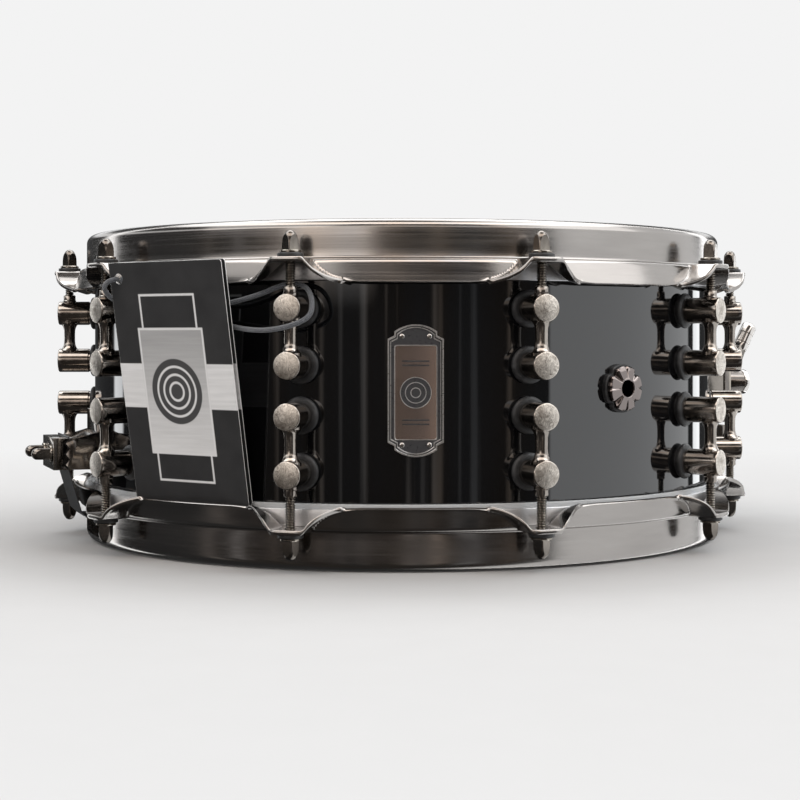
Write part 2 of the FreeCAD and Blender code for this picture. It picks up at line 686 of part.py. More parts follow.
def throw_carriage():
    half = CAVITY_HALF - 0.3
    slider = block(CAVITY_BACK + 0.2, CARRIAGE_FRONT, -half, half, 54.0, CARRIAGE_TOP)
    slider = slider.cut(block(JAW_FACE - TOOTH_DEPTH - 0.5, 210, -20, 20, 50, JAW_HIGH + 4.2))
    pin = bar_x(PIN_R, CARRIAGE_FRONT - 3, CARRIAGE_FRONT + 3.4, 0, HUB_Z - CAM_START)
    body = slider.fuse([pin, inner_jaw(CAVITY_BACK + 0.6)]).removeSplitter()
    return body.cut(bar_z(2.0 + RUNNING, CARRIAGE_TOP - 18, CARRIAGE_TOP + 1, KNOB_X))


def tension_knob():
    knob = bar_z(6.6, KNOB_LOW, KNOB_LOW + 7.5, KNOB_X)
    flutes = []
    for i in range(12):
        t = math.radians(30 * i)
        flutes.append(bar_z(0.9, KNOB_LOW - 1, KNOB_LOW + 9, KNOB_X + 7.0 * math.cos(t), 7.0 * math.sin(t)))
    return knob.cut(flutes).fuse(bar_z(2.0, CARRIAGE_TOP - 16, KNOB_LOW + 1, KNOB_X)).removeSplitter()


# ---- snare wires ----------------------------------------------------------------------------------------
WIRE_Z = MIDDLE - SHELL_DEPTH / 2 - SNARE_FILM - 0.15 - WIRE_R


def snare_wires():
    made = []
    for i in range(WIRE_COUNT):
        y = (i - (WIRE_COUNT - 1) / 2) * WIRE_PITCH
        made.append(around(bar_x(WIRE_R, -WIRE_HALF, WIRE_HALF, y, WIRE_Z), THROW_SIDE))
    return made


def end_plates():
    """The wires' end plates: each wire's end lies in a groove, and a slot takes the strap."""
    half = WIRE_COUNT * WIRE_PITCH / 2 + 1.0
    plate = block(WIRE_HALF - 8, PLATE_END, -half, half, WIRE_Z - WIRE_R - 0.9, WIRE_Z + 0.3)
    grooves = []
    for i in range(WIRE_COUNT):
        y = (i - (WIRE_COUNT - 1) / 2) * WIRE_PITCH
        grooves.append(bar_x(WIRE_R, WIRE_HALF - 9, WIRE_HALF, y, WIRE_Z))
    slot = block(WIRE_HALF + 3.6, PLATE_END + 1, -STRAP_HALF - 0.6, STRAP_HALF + 0.6, 13.0, 15.0)
    plate = plate.cut(grooves).cut(slot)
    return [around(plate, THROW_SIDE), around(plate, SNARE_SIDE)]


# ---- swing tag ------------------------------------------------------------------------------------------
def tag_frame():
    """The tag's own frame: X out of its face, Y along its width to its right, Z up its length."""
    lean = FreeCAD.Rotation(Vec(0, 1, 0), TAG_LEAN)
    turn = FreeCAD.Rotation(UP, TAG_DIRECTION - 90)
    placed = FreeCAD.Placement(TAG_LOW, lean)
    return FreeCAD.Placement(ORIGIN, turn).multiply(placed)


def swing_tag():
    """A folded card: the front leaf, and a back leaf that gapes at the side away from the fold."""
    width = TAG_HALF
    outline = [
        Vec(0, -width, 0), Vec(0, width, 0), Vec(-TAG_LEAF, width, 0), Vec(-TAG_LEAF, -width + 1.2, 0),
        Vec(-TAG_LEAF - TAG_GAPE, width, 0), Vec(-2 * TAG_LEAF - TAG_GAPE, width, 0),
        Vec(-2 * TAG_LEAF, -width, 0),
    ]
    card = Part.Face(Part.makePolygon(outline + outline[:1])).extrude(Vec(0, 0, TAG_LENGTH))
    card = card.cut(Part.makeCylinder(EYELET_R, 20, Vec(-10, -width + 6, TAG_LENGTH - 8), Vec(1, 0, 0)))
    card.Placement = tag_frame()
    return card


# The elastic cord, as a hand-chosen route of (direction, radius, z): out of the eyelet, round the tag's
# left edge, behind it, round the lug at -18 degrees and back behind the tag to the eyelet.
CORD_ROUTE = [
    (-46.2, 204.3, 141.9), (-46.4, 208.2, 141.4), (-47.9, 208.5, 139.0), (-49.0, 205.0, 135.0),
    (-48.3, 200.0, 130.5), (-45.5, 193.0, 126.5), (-41.5, 189.8, 124.0), (-37.5, 188.0, 122.0),
    (-29.5, 190.0, 119.0), (-23.5, 196.5, 115.8), (-18.6, 202.3, 116.6), (-14.6, 200.0, 121.5),
    (-14.6, 195.5, 130.5), (-16.2, 189.0, 137.8), (-19.6, 186.6, 138.8), (-24.0, 189.5, 132.5),
    (-30.5, 193.0, 127.5), (-38.5, 193.6, 130.0), (-43.0, 193.0, 134.8), (-45.6, 196.0, 139.3),
    (-46.2, 202.9, 141.9),
]


def route_point(direction, radius, z):
    t = math.radians(direction)
    return Vec(radius * math.sin(t), -radius * math.cos(t), z)


def cord():
    """A tube along straight runs joined by tangent arcs, each as large as its two runs allow."""
    points = [route_point(*p) for p in CORD_ROUTE]
    edges = []
    start = points[0]
    radii = []
    for before, corner, after in zip(points, points[1:], points[2:]):
        first = before.sub(corner)
        second = after.sub(corner)
        reach = 0.45 * min(first.Length, second.Length)
        first.normalize()
        second.normalize()
        turn = math.pi - first.getAngle(second)
        radii.append(round(reach / math.tan(turn / 2), 1))
        entry = corner + first * reach
        leave = corner + second * reach
        middle = first + second
        middle.normalize()
        bow = reach / math.tan(turn / 2) * (1 / math.cos(turn / 2) - 1)
        edges.append(Part.makeLine(start, entry))
        edges.append(Part.Arc(entry, corner + middle * bow, leave).toShape())
        start = leave
    edges.append(Part.makeLine(start, points[-1]))
    path = Part.Wire(edges)
    ring = Part.Wire(Part.makeCircle(CORD_R, points[0], points[1].sub(points[0])))
    tube = path.makePipeShell([ring], True, False)
    print("cord radii", radii, "length", round(path.Length, 1))
    section = math.pi * CORD_R ** 2
    print("cord volume over section times length", round(tube.Volume / (section * path.Length), 4))
    return tube


def write_all():
    os.makedirs("parts", exist_ok=True)
    for name, shape in parts.items():
        solids = shape.Solids
        good = all(s.isValid() and s.Volume > 0 for s in solids)
        print(name, len(solids), "solids", round(shape.Volume, 1), "mm3", "ok" if good else "BAD")
        shape.exportStep("parts/" + name + ".step")


put("shell", shell())
batter_hoop = hoop(HOOP_TOP, -1)
put("batter_hoop", batter_hoop)
put("snare_side_hoop", gates(hoop(0.0, 1)))
batter_edge = MIDDLE + SHELL_DEPTH / 2
channel_low_z = HOOP_TOP - WALL_HEIGHT - SHEET - CHANNEL_HEIGHT
put("batter_head", head(batter_edge, BATTER_FILM, channel_low_z))
put("batter_flesh_hoop", flesh_hoop())
snare_edge = HOOP_TOP - (MIDDLE - SHELL_DEPTH / 2)
put("snare_side_head", over(head(snare_edge, SNARE_FILM, channel_low_z), HOOP_TOP))
put("snare_side_flesh_hoop", over(flesh_hoop(), HOOP_TOP))

upper_lug = lug()
lower_lug = over(upper_lug)
put("batter_lugs", *[around(upper_lug, d) for d in COLUMNS])
put("snare_side_lugs", *[around(lower_lug, d) for d in COLUMNS])
rod = tension_rod()
washer = tension_washer()
lower_rod = over(rod, HOOP_TOP)
for number, direction in enumerate(COLUMNS, 1):
    put(f"batter_rod_{number:02d}", around(rod, direction))
    put(f"snare_side_rod_{number:02d}", around(lower_rod, direction))
washers = [around(w, d) for d in COLUMNS for w in (washer, over(washer, HOOP_TOP))]
put("tension_washers", *washers)
put("lug_gaskets", *gaskets())
put("lug_screws", *lug_screws())

put("badge_plate", badge_plate())
put("badge_screws", *badge_screws())
vent_grommet, vent_gasket, vent_nut = vent()
put("vent_grommet", vent_grommet)
put("vent_gasket", vent_gasket)
put("vent_nut", vent_nut)

put("butt_base", around(butt_base(), SNARE_SIDE))
put("butt_clamp_jaw", around(outer_jaw(), SNARE_SIDE))
put("butt_clamp_screws", *[around(s, SNARE_SIDE) for s in clamp_screws()])
put("butt_strap", around(strap(), SNARE_SIDE))
put("bracket_screws", *bracket_screws())

put("throw_off_base", around(throw_base(), THROW_SIDE))
put("throw_off_cover", around(throw_cover(), THROW_SIDE))
put("throw_off_cover_screws", *[around(s, THROW_SIDE) for s in cover_screws()])
put("throw_off_cam", around(cam_disc(), THROW_SIDE))
put("throw_off_lever", around(throw_lever(), THROW_SIDE))
put("throw_off_grip", around(lever_grip(), THROW_SIDE))
put("throw_off_carriage", around(throw_carriage(), THROW_SIDE))
put("throw_off_clamp_jaw", around(outer_jaw(), THROW_SIDE))
put("throw_off_clamp_screws", *[around(s, THROW_SIDE) for s in clamp_screws()])
put("throw_off_strap", around(strap(), THROW_SIDE))
put("tension_knob", around(tension_knob(), THROW_SIDE))

put("snare_wires", *snare_wires())
put("snare_end_plates", *end_plates())
put("swing_tag", swing_tag())
put("tag_cord", cord())
write_all()
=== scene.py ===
import json
import math
import random

import bmesh
import bpy
from mathutils import Matrix, Vector


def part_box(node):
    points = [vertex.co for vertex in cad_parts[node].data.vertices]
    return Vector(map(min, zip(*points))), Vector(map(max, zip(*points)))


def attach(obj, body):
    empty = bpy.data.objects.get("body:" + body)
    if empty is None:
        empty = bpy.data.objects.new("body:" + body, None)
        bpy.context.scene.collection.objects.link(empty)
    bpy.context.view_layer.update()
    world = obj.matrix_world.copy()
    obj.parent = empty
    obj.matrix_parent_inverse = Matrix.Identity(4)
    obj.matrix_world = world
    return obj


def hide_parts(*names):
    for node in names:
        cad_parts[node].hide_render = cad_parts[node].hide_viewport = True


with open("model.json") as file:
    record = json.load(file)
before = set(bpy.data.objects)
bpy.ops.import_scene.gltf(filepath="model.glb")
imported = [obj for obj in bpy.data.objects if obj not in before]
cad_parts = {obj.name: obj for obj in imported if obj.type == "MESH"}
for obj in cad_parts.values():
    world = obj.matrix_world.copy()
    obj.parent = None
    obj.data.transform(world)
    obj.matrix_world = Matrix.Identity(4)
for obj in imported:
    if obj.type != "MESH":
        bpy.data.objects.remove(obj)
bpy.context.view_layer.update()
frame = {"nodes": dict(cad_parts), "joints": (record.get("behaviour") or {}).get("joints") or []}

MM = 0.001
DRUM = "drum"

# ---- places read from the frame ---------------------------------------------------------------------------
SHELL_LOW, SHELL_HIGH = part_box("shell")
SHELL_R = SHELL_HIGH.y
BATTER_LOW, BATTER_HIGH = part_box("batter_hoop")
SNARE_LOW, SNARE_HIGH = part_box("snare_side_hoop")
MIDDLE = (SHELL_LOW.z + SHELL_HIGH.z) / 2
HOOP_TOP = BATTER_HIGH.z
JOINTS = {j["name"]: j for j in frame["joints"]}
ROD_JOINTS = [JOINTS[f"batter_rod_{i:02d}_turn"]["pos_m"] for i in range(1, 11)]
COLUMNS = [math.degrees(math.atan2(p[0], -p[1])) for p in ROD_JOINTS]
ROD_CIRCLE = math.hypot(ROD_JOINTS[0][0], ROD_JOINTS[0][1])
BADGE_LOW, BADGE_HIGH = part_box("badge_plate")
VENT_LOW, VENT_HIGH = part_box("vent_grommet")
THROW_SIDE = math.degrees(math.atan2(JOINTS["throw_off_turn"]["axis"][0], -JOINTS["throw_off_turn"]["axis"][1]))
SNARE_SIDE = THROW_SIDE - 180
HUB_Z = JOINTS["throw_off_turn"]["pos_m"][2]

# ---- sizes of the finer shapes, in metres -------------------------------------------------------------------
POST_OUT = 39.7 * MM
POST_IN = 12.25 * MM
POST_R = 6.8 * MM
POST_FACE = 200.9 * MM
FACE_DOME = 0.45 * MM
GASKET_THICK = 4.0 * MM
GASKET_R = 9.3 * MM
WAIST_R = 3.1 * MM
FLARE_R = 5.4 * MM
COLLAR_R = 3.4 * MM
COLLAR_TOP = 50.2 * MM
WALL_HEIGHT = 19.2 * MM
SKIRT_DROP = 11.5 * MM
SHEET = 2.2 * MM
HOOP_WALL_R = 182.3 * MM
WASHER_THICK = 2.0 * MM
ROD_R = 2.5 * MM
SKIRT_R = 189.2 * MM
LIP_R = 4.5 * MM
LIP_INNER = 173.8 * MM
EAR_HALF = 7.4 * MM
EAR_REACH = 202.0 * MM
EAR_FLANK = 25.0 * MM
VENT_SIDE = 36
TAG_SIDE = -37.3
CLAMP_Z = 50.0 * MM
CLAMP_SEAT = 205.8 * MM
CLAMP_APART = 12.5 * MM
HUB_END = 228.0 * MM


# ---- mesh helpers -------------------------------------------------------------------------------------------
class Shape:
    """Vertices and faces of several closed parts, gathered into one mesh."""

    def __init__(self):
        self.verts = []
        self.faces = []
        self.slots = []
        self.uvs = []

    def add(self, part, matrix=None, slot=0):
        matrix = matrix or Matrix.Identity(4)
        verts, faces = part[0], part[1]
        base = len(self.verts)
        self.verts += [matrix @ Vector(v) for v in verts]
        self.faces += [[base + i for i in f] for f in faces]
        self.slots += [slot] * len(faces)
        self.uvs += part[2] if len(part) > 2 else [(0.0, 0.0)] * len(verts)
        return self

    def mesh(self, name, materials, sharp=32):
        mesh = bpy.data.meshes.new(name)
        mesh.from_pydata([tuple(v) for v in self.verts], [], self.faces)
        for item in materials:
            mesh.materials.append(MAT[item])
        mesh.polygons.foreach_set("material_index", self.slots)
        layer = mesh.uv_layers.new(name="UVMap")
        for loop in mesh.loops:
            layer.data[loop.index].uv = self.uvs[loop.vertex_index]
        work = bmesh.new()
        work.from_mesh(mesh)
        bmesh.ops.recalc_face_normals(work, faces=work.faces)
        work.to_mesh(mesh)
        work.free()
        finish_shading(mesh, sharp)
        return mesh


def finish_shading(mesh, sharp):
    mesh.polygons.foreach_set("use_smooth", [True] * len(mesh.polygons))
    mesh.set_sharp_from_angle(angle=math.radians(sharp))
    mesh.update()


def piece(name, mesh, nodes=(), body=DRUM, matrix=None):
    """A mesh as an object that rides on a body and stands for its CAD nodes."""
    obj = bpy.data.objects.new(name, mesh)
    bpy.context.scene.collection.objects.link(obj)
    if matrix is not None:
        obj.matrix_world = matrix
    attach(obj, body)
    if nodes:
        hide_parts(*nodes)
    return obj


def bevel(obj, width=0.35 * MM, segments=2, angle=35):
    """Rounds an object's sharp edges."""
    made = obj.modifiers.new("edges", "BEVEL")
    made.width = width
    made.segments = segments
    made.limit_method = "ANGLE"
    made.angle_limit = math.radians(angle)
    made.harden_normals = True
    return obj


def around(direction):
    """The frame of something at a direction round the drum: X outwards, Y along the tangent, Z up."""
    return Matrix.Rotation(math.radians(direction - 90), 4, "Z")


def upside_down(total):
    """Mirrors top to bottom, for the half of the drum below the plane at half of total."""
    return Matrix.Translation((0, 0, total)) @ Matrix.Scale(-1, 4, (0, 0, 1))


def lathe(profile, segments=64, loop=False):
    """Revolves (radius, z) points about Z. A point on the axis closes the shape with a pole."""
    verts, faces, rings = [], [], []
    for r, z in profile:
        if r < 1e-9:
            rings.append([len(verts)])
            verts.append((0, 0, z))
            continue
        rings.append(list(range(len(verts), len(verts) + segments)))
        for i in range(segments):
            t = 2 * math.pi * i / segments
            verts.append((r * math.cos(t), r * math.sin(t), z))
    pairs = list(zip(rings, rings[1:]))
    if loop:
        pairs.append((rings[-1], rings[0]))
    for a, b in pairs:
        for i in range(segments):
            j = (i + 1) % segments
            if len(a) == 1:
                faces.append([a[0], b[i], b[j]])
            elif len(b) == 1:
                faces.append([a[i], a[j], b[0]])
            else:
                faces.append([a[i], a[j], b[j], b[i]])
    return verts, faces


def along_x(part):
    """Turns a part built about Z so that its axis lies along X, Z becoming X."""
    verts = [(z, x, y) for x, y, z in part[0]]
    return verts, part[1]


def rounded(points, radius, steps=4, closed=False):
    """A polyline whose corners are rounded. radius is one number or one for each point."""
    count = len(points)
    radii = radius if isinstance(radius, (list, tuple)) else [radius] * count
    found = []
    for i, point in enumerate(points):
        ends = not closed and i in (0, count - 1)
        if ends or radii[i] <= 0:
            found.append(tuple(point))
            continue
        here = Vector(point)
        before = Vector(points[i - 1]) - here
        after = Vector(points[(i + 1) % count]) - here
        reach = min(radii[i], 0.49 * before.length, 0.49 * after.length)
        a = here + before.normalized() * reach
        b = here + after.normalized() * reach
        for k in range(steps + 1):
            t = k / steps
            found.append(tuple(a * (1 - t) ** 2 + here * 2 * t * (1 - t) + b * t * t))
    return found


def prism(outline, depth, axis="Y"):
    """A closed prism from a flat outline, centred on the given axis."""
    half = depth / 2
    count = len(outline)
    place = {
        "X": lambda a, b, d: (d, a, b),
        "Y": lambda a, b, d: (a, d, b),
        "Z": lambda a, b, d: (a, b, d),
    }[axis]
    verts = [place(a, b, d) for d in (-half, half) for a, b in outline]
    faces = [list(range(count))[::-1], list(range(count, 2 * count))]
    for i in range(count):
        j = (i + 1) % count
        faces.append([i, j, count + j, count + i])
    return verts, faces


def grid(rows, wrap_rows=False, wrap_columns=False):
    """Faces between rows of points."""
    count = len(rows[0])
    verts = [p for row in rows for p in row]
    faces = []
    for i in range(len(rows) if wrap_rows else len(rows) - 1):
        k = (i + 1) % len(rows)
        for j in range(count if wrap_columns else count - 1):
            m = (j + 1) % count
            faces.append([i * count + j, i * count + m, k * count + m, k * count + j])
    return verts, faces


def box_part(low, high):
    x0, y0, z0 = low
    x1, y1, z1 = high
    verts = [(x, y, z) for z in (z0, z1) for x, y in ((x0, y0), (x1, y0), (x1, y1), (x0, y1))]
    faces = [[0, 3, 2, 1], [4, 5, 6, 7]] + [[i, (i + 1) % 4, 4 + (i + 1) % 4, 4 + i] for i in range(4)]
    return verts, faces


def combine(name, base, *steps, sharp=32):
    """The base mesh after each step of ("UNION", "DIFFERENCE" or "INTERSECT", mesh)."""
    objects = [bpy.data.objects.new(name, mesh) for mesh in [base] + [mesh for _, mesh in steps]]
    for obj in objects:
        bpy.context.scene.collection.objects.link(obj)
    for (operation, _), other in zip(steps, objects[1:]):
        step = objects[0].modifiers.new("step", "BOOLEAN")
        step.operation = operation
        step.solver = "EXACT"
        step.object = other
    return bake(objects[0], objects[1:], name, sharp)


def bake(body, spare, name, sharp):
    """The mesh that an object's modifiers make. The objects used on the way are removed."""
    bpy.context.view_layer.update()
    graph = bpy.context.evaluated_depsgraph_get()
    made = bpy.data.meshes.new_from_object(body.evaluated_get(graph))
    made.name = name
    finish_shading(made, sharp)
    for obj in [body] + spare:
        bpy.data.objects.remove(obj)
    return made


# ---- material helpers -----------------------------------------------------------------------------------------
class Nodes:
    """A short way to write a node tree."""

    def __init__(self, tree):
        self.tree = tree

    def node(self, kind, outlet=0, settings=None, **inputs):
        made = self.tree.nodes.new(kind)
        for key, value in (settings or {}).items():
            setattr(made, key, value)
        for key, value in inputs.items():
            self.feed(self.socket(made.inputs, key), value)
        return made.outputs[outlet]

    def socket(self, inputs, key):
        if key.startswith("i") and key[1:].isdigit():
            return inputs[int(key[1:])]
        return inputs[key.replace("_", " ")]

    def feed(self, socket, value):
        if isinstance(value, bpy.types.NodeSocket):
            self.tree.links.new(value, socket)
        else:
            socket.default_value = value

    def math(self, operation, *values, clamp=False):
        inputs = {f"i{i}": v for i, v in enumerate(values)}
        return self.node("ShaderNodeMath", settings={"operation": operation, "use_clamp": clamp}, **inputs)

    def place(self, kind="Object"):
        return self.node("ShaderNodeTexCoord", outlet=kind)

    def split(self, vector):
        made = self.tree.nodes.new("ShaderNodeSeparateXYZ")
        self.feed(made.inputs[0], vector)
        return made.outputs[0], made.outputs[1], made.outputs[2]

    def join(self, x, y, z):
        return self.node("ShaderNodeCombineXYZ", X=x, Y=y, Z=z)

    def stretch(self, vector, scale):
        return self.node("ShaderNodeMapping", Vector=vector, Scale=scale)

    def noise(self, vector, scale, detail=4.0, rough=0.55):
        return self.node("ShaderNodeTexNoise", outlet="Fac", Vector=vector, Scale=scale, Detail=detail, Roughness=rough)

    def remap(self, value, low, high, to_low, to_high):
        return self.node("ShaderNodeMapRange", i0=value, i1=low, i2=high, i3=to_low, i4=to_high)

    def mix(self, factor, first, second):
        made = self.tree.nodes.new("ShaderNodeMix")
        made.data_type = "RGBA"
        self.feed(made.inputs[0], factor)
        self.feed(made.inputs[6], first)
        self.feed(made.inputs[7], second)
        return made.outputs[2]

    def bump(self, height, strength, distance=0.0002, normal=None):
        inputs = {"Strength": strength, "Distance": distance, "Height": height}
        if normal is not None:
            inputs["Normal"] = normal
        return self.node("ShaderNodeBump", **inputs)

    def cylinder(self):
        """Object coordinates unrolled: arc length round the drum, radius, height."""
        x, y, z = self.split(self.place())
        turn = self.math("ARCTAN2", x, self.math("MULTIPLY", y, -1.0))
        arc = self.math("MULTIPLY", turn, SHELL_R)
        radius = self.math("SQRT", self.math("ADD", self.math("MULTIPLY", x, x), self.math("MULTIPLY", y, y)))
        return arc, radius, z


class Paint(Nodes):
    """A material whose Principled shader is set from nodes."""

    def __init__(self, name):
        self.material = bpy.data.materials.new(name)
        self.material.use_nodes = True
        super().__init__(self.material.node_tree)
        self.bsdf = self.tree.nodes["Principled BSDF"]

    def set(self, **inputs):
        for key, value in inputs.items():
            self.feed(self.bsdf.inputs[key.replace("_", " ")], value)
        return self


def rgb(r, g, b):
    return (r, g, b, 1.0)


def lacquer():
    """Deep black gloss with a faint orange peel and the odd hairline."""
    p = Paint("black_lacquer")
    spot = p.place()
    peel = p.noise(spot, 160.0, 2.0)
    hair = p.noise(p.stretch(spot, (90, 90, 900)), 1.0, 3.0)
    smear = p.noise(spot, 14.0, 5.0)
    normal = p.bump(peel, 0.03, 0.0001)
    return p.set(
        Base_Color=p.mix(smear, rgb(0.0015, 0.0015, 0.0018), rgb(0.003, 0.003, 0.0035)),
        Roughness=p.math("ADD", p.remap(smear, 0.3, 0.7, 0.025, 0.05), p.remap(hair, 0.66, 0.74, 0.0, 0.05)),
        IOR=1.8,
        Normal=normal,
    ).material


def maple():
    """The bare inner ply: straight grain round the shell."""
    p = Paint("maple_ply")
    arc, radius, z = p.cylinder()
    grain = p.noise(p.join(p.math("MULTIPLY", arc, 14.0), p.math("MULTIPLY", z, 320.0), radius), 1.0, 6.0)
    tone = p.noise(p.join(p.math("MULTIPLY", arc, 3.0), p.math("MULTIPLY", z, 30.0), radius), 1.0, 3.0)
    colour = p.mix(grain, rgb(0.42, 0.25, 0.12), rgb(0.66, 0.46, 0.26))
    colour = p.mix(p.remap(tone, 0.3, 0.7, 0.0, 0.35), colour, rgb(0.50, 0.30, 0.14))
    return p.set(Base_Color=colour, Roughness=0.55, Normal=p.bump(grain, 0.2, 0.0002)).material


def hoop_metal():
    """Dark nickel, polished, with fine brushing round the drum."""
    p = Paint("hoop_nickel")
    arc, radius, z = p.cylinder()
    line = p.join(p.math("MULTIPLY", arc, 9.0), p.math("MULTIPLY", radius, 1500.0), p.math("MULTIPLY", z, 1500.0))
    brush = p.noise(line, 1.0, 4.0, 0.6)
    wide = p.join(p.math("MULTIPLY", arc, 14.0), p.math("MULTIPLY", radius, 90.0), p.math("MULTIPLY", z, 90.0))
    cloud = p.noise(wide, 1.0, 5.0)
    colour = p.mix(p.remap(cloud, 0.3, 0.7, 0.0, 1.0), rgb(0.29, 0.272, 0.258), rgb(0.35, 0.33, 0.312))
    return p.set(
        Base_Color=colour,
        Metallic=1.0,
        Roughness=p.math("ADD", p.remap(cloud, 0.3, 0.7, 0.09, 0.17), p.remap(brush, 0.3, 0.7, 0.0, 0.10)),
        Normal=p.bump(brush, 0.10, 0.0001),
    ).material


def dark_nickel(name, low, high, shine=0.14, worn=rgb(0.62, 0.56, 0.48)):
    """Antiqued black nickel: cloudy tone, fine scuffs and paler worn edges; its grooves and hollows are darkened with
    painted shade.
    """
    p = Paint(name)
    spot = p.place()
    cloud = p.noise(spot, 90.0, 6.0, 0.6)
    scuff = p.noise(p.stretch(spot, (500, 500, 2200)), 1.0, 4.0)
    point = p.node("ShaderNodeNewGeometry", outlet="Pointiness")
    edge = p.remap(point, 0.52, 0.60, 0.0, 0.55)
    # painted shade: the hollows that pointiness finds (grooves, thread valleys, joints) are darkened towards near black
    groove = p.remap(point, 0.40, 0.47, 0.85, 0.0)
    colour = p.mix(p.remap(cloud, 0.32, 0.68, 0.0, 1.0), low, high)
    colour = p.mix(edge, colour, worn)
    # mixes the painted shade into the grooves and hollows
    colour = p.mix(groove, colour, rgb(0.03, 0.026, 0.023))
    return p.set(
        Base_Color=colour,
        Metallic=1.0,
        Roughness=p.math("ADD", p.remap(cloud, 0.3, 0.7, shine, shine + 0.10), p.remap(scuff, 0.5, 0.8, 0.0, 0.12)),
        Normal=p.bump(scuff, 0.08, 0.0001),
    ).material


def brushed_face():
    """The posts' flat ends: pale antiqued metal with swirled scratches."""
    p = Paint("brushed_face")
    spot = p.place()
    warp = p.node("ShaderNodeTexNoise", outlet="Color", Vector=spot, Scale=110.0, Detail=2.0)
    bent = p.node(
        "ShaderNodeVectorMath", settings={"operation": "MULTIPLY_ADD"}, i0=warp, i1=(0.02, 0.02, 0.02), i2=spot
    )
    swirl = p.noise(p.stretch(bent, (1500, 1500, 340)), 1.0, 5.0, 0.65)
    stain = p.noise(spot, 150.0, 4.0, 0.6)
    colour = p.mix(p.remap(swirl, 0.35, 0.65, 0.0, 1.0), rgb(0.30, 0.265, 0.23), rgb(0.84, 0.79, 0.72))
    colour = p.mix(p.remap(stain, 0.5, 0.72, 0.0, 0.75), colour, rgb(0.20, 0.165, 0.13))
    return p.set(
        Base_Color=colour,
        Metallic=1.0,
        Roughness=p.remap(swirl, 0.3, 0.7, 0.26, 0.44),
        Normal=p.bump(swirl, 0.30, 0.0001),
    ).material


def rubber():
    p = Paint("gasket_rubber")
    spot = p.place()
    grain = p.noise(spot, 1200.0, 3.0)
    dust = p.noise(spot, 120.0, 6.0, 0.7)
    colour = p.mix(p.remap(dust, 0.5, 0.75, 0.0, 1.0), rgb(0.012, 0.012, 0.013), rgb(0.05, 0.05, 0.052))
    return p.set(Base_Color=colour, Roughness=p.remap(dust, 0.3, 0.7, 0.38, 0.6), Normal=p.bump(grain, 0.15)).material


def nylon():
    p = Paint("washer_nylon")
    spot = p.place()
    grain = p.noise(spot, 900.0, 3.0)
    return p.set(
        Base_Color=p.mix(grain, rgb(0.010, 0.010, 0.011), rgb(0.03, 0.03, 0.03)),
        Roughness=p.remap(grain, 0.3, 0.7, 0.3, 0.5),
        Normal=p.bump(grain, 0.1),
    ).material


def enamel():
    p = Paint("dark_enamel")
    spot = p.place()
    fleck = p.noise(spot, 700.0, 4.0)
    return p.set(
        Base_Color=p.mix(fleck, rgb(0.018, 0.018, 0.02), rgb(0.045, 0.045, 0.048)),
        Roughness=p.remap(fleck, 0.3, 0.7, 0.25, 0.4),
        Normal=p.bump(fleck, 0.08),
    ).material


def polished(name, colour, rough=0.06):
    p = Paint(name)
    spot = p.place()
    cloud = p.noise(spot, 60.0, 4.0)
    hair = p.noise(p.stretch(spot, (300, 300, 3000)), 1.0, 3.0)
    return p.set(
        Base_Color=p.mix(cloud, colour, tuple(0.9 * c for c in colour[:3]) + (1.0,)),
        Metallic=1.0,
        Roughness=p.math("ADD", p.remap(cloud, 0.3, 0.7, rough, rough + 0.06), p.remap(hair, 0.6, 0.8, 0.0, 0.08)),
        Normal=p.bump(hair, 0.03, 0.0001),
    ).material


def steel(name="plated_steel", colour=rgb(0.62, 0.62, 0.62), rough=0.28):
    p = Paint(name)
    spot = p.place()
    grain = p.noise(p.stretch(spot, (800, 800, 2400)), 1.0, 4.0)
    return p.set(
        Base_Color=p.mix(grain, colour, tuple(0.75 * c for c in colour[:3]) + (1.0,)),
        Metallic=1.0,
        Roughness=p.remap(grain, 0.3, 0.7, rough - 0.06, rough + 0.1),
        Normal=p.bump(grain, 0.1, 0.0001),
    ).material


def coated_film():
    """Sprayed white coating, with a clear band where the film turns over the edge."""
    p = Paint("coated_film")
    arc, radius, z = p.cylinder()
    spray = p.noise(p.place(), 1500.0, 4.0, 0.7)
    patch = p.noise(p.place(), 18.0, 4.0)
    coat = p.remap(radius, 0.1655, 0.1665, 1.0, 0.0)
    colour = p.mix(p.remap(patch, 0.3, 0.7, 0.0, 1.0), rgb(0.60, 0.60, 0.585), rgb(0.66, 0.66, 0.645))
    colour = p.mix(coat, rgb(0.55, 0.56, 0.57), colour)
    return p.set(
        Base_Color=colour,
        Roughness=p.remap(coat, 0.0, 1.0, 0.18, 0.62),
        Normal=p.bump(p.math("MULTIPLY", spray, coat), 0.35, 0.0001),
    ).material


def clear_film():
    p = Paint("clear_film")
    patch = p.noise(p.place(), 30.0, 4.0)
    return p.set(
        Base_Color=p.mix(patch, rgb(0.72, 0.75, 0.77), rgb(0.82, 0.84, 0.85)),
        Roughness=p.remap(patch, 0.3, 0.7, 0.16, 0.26),
        Alpha=0.42,
        IOR=1.55,
    ).material


def ribbon():
    """Black film ribbon with a woven edge-to-edge rib."""
    p = Paint("strap_ribbon")
    spot = p.place("UV")
    u, v, w = p.split(spot)
    rib = p.math("SINE", p.math("MULTIPLY", u, 9000.0))
    crease = p.noise(p.stretch(spot, (60, 300, 1)), 1.0, 4.0)
    return p.set(
        Base_Color=p.mix(crease, rgb(0.012, 0.012, 0.013), rgb(0.035, 0.035, 0.037)),
        Roughness=p.remap(crease, 0.3, 0.7, 0.22, 0.42),
        Normal=p.bump(p.math("ADD", p.math("MULTIPLY", rib, 0.3), crease), 0.25, 0.0001),
    ).material


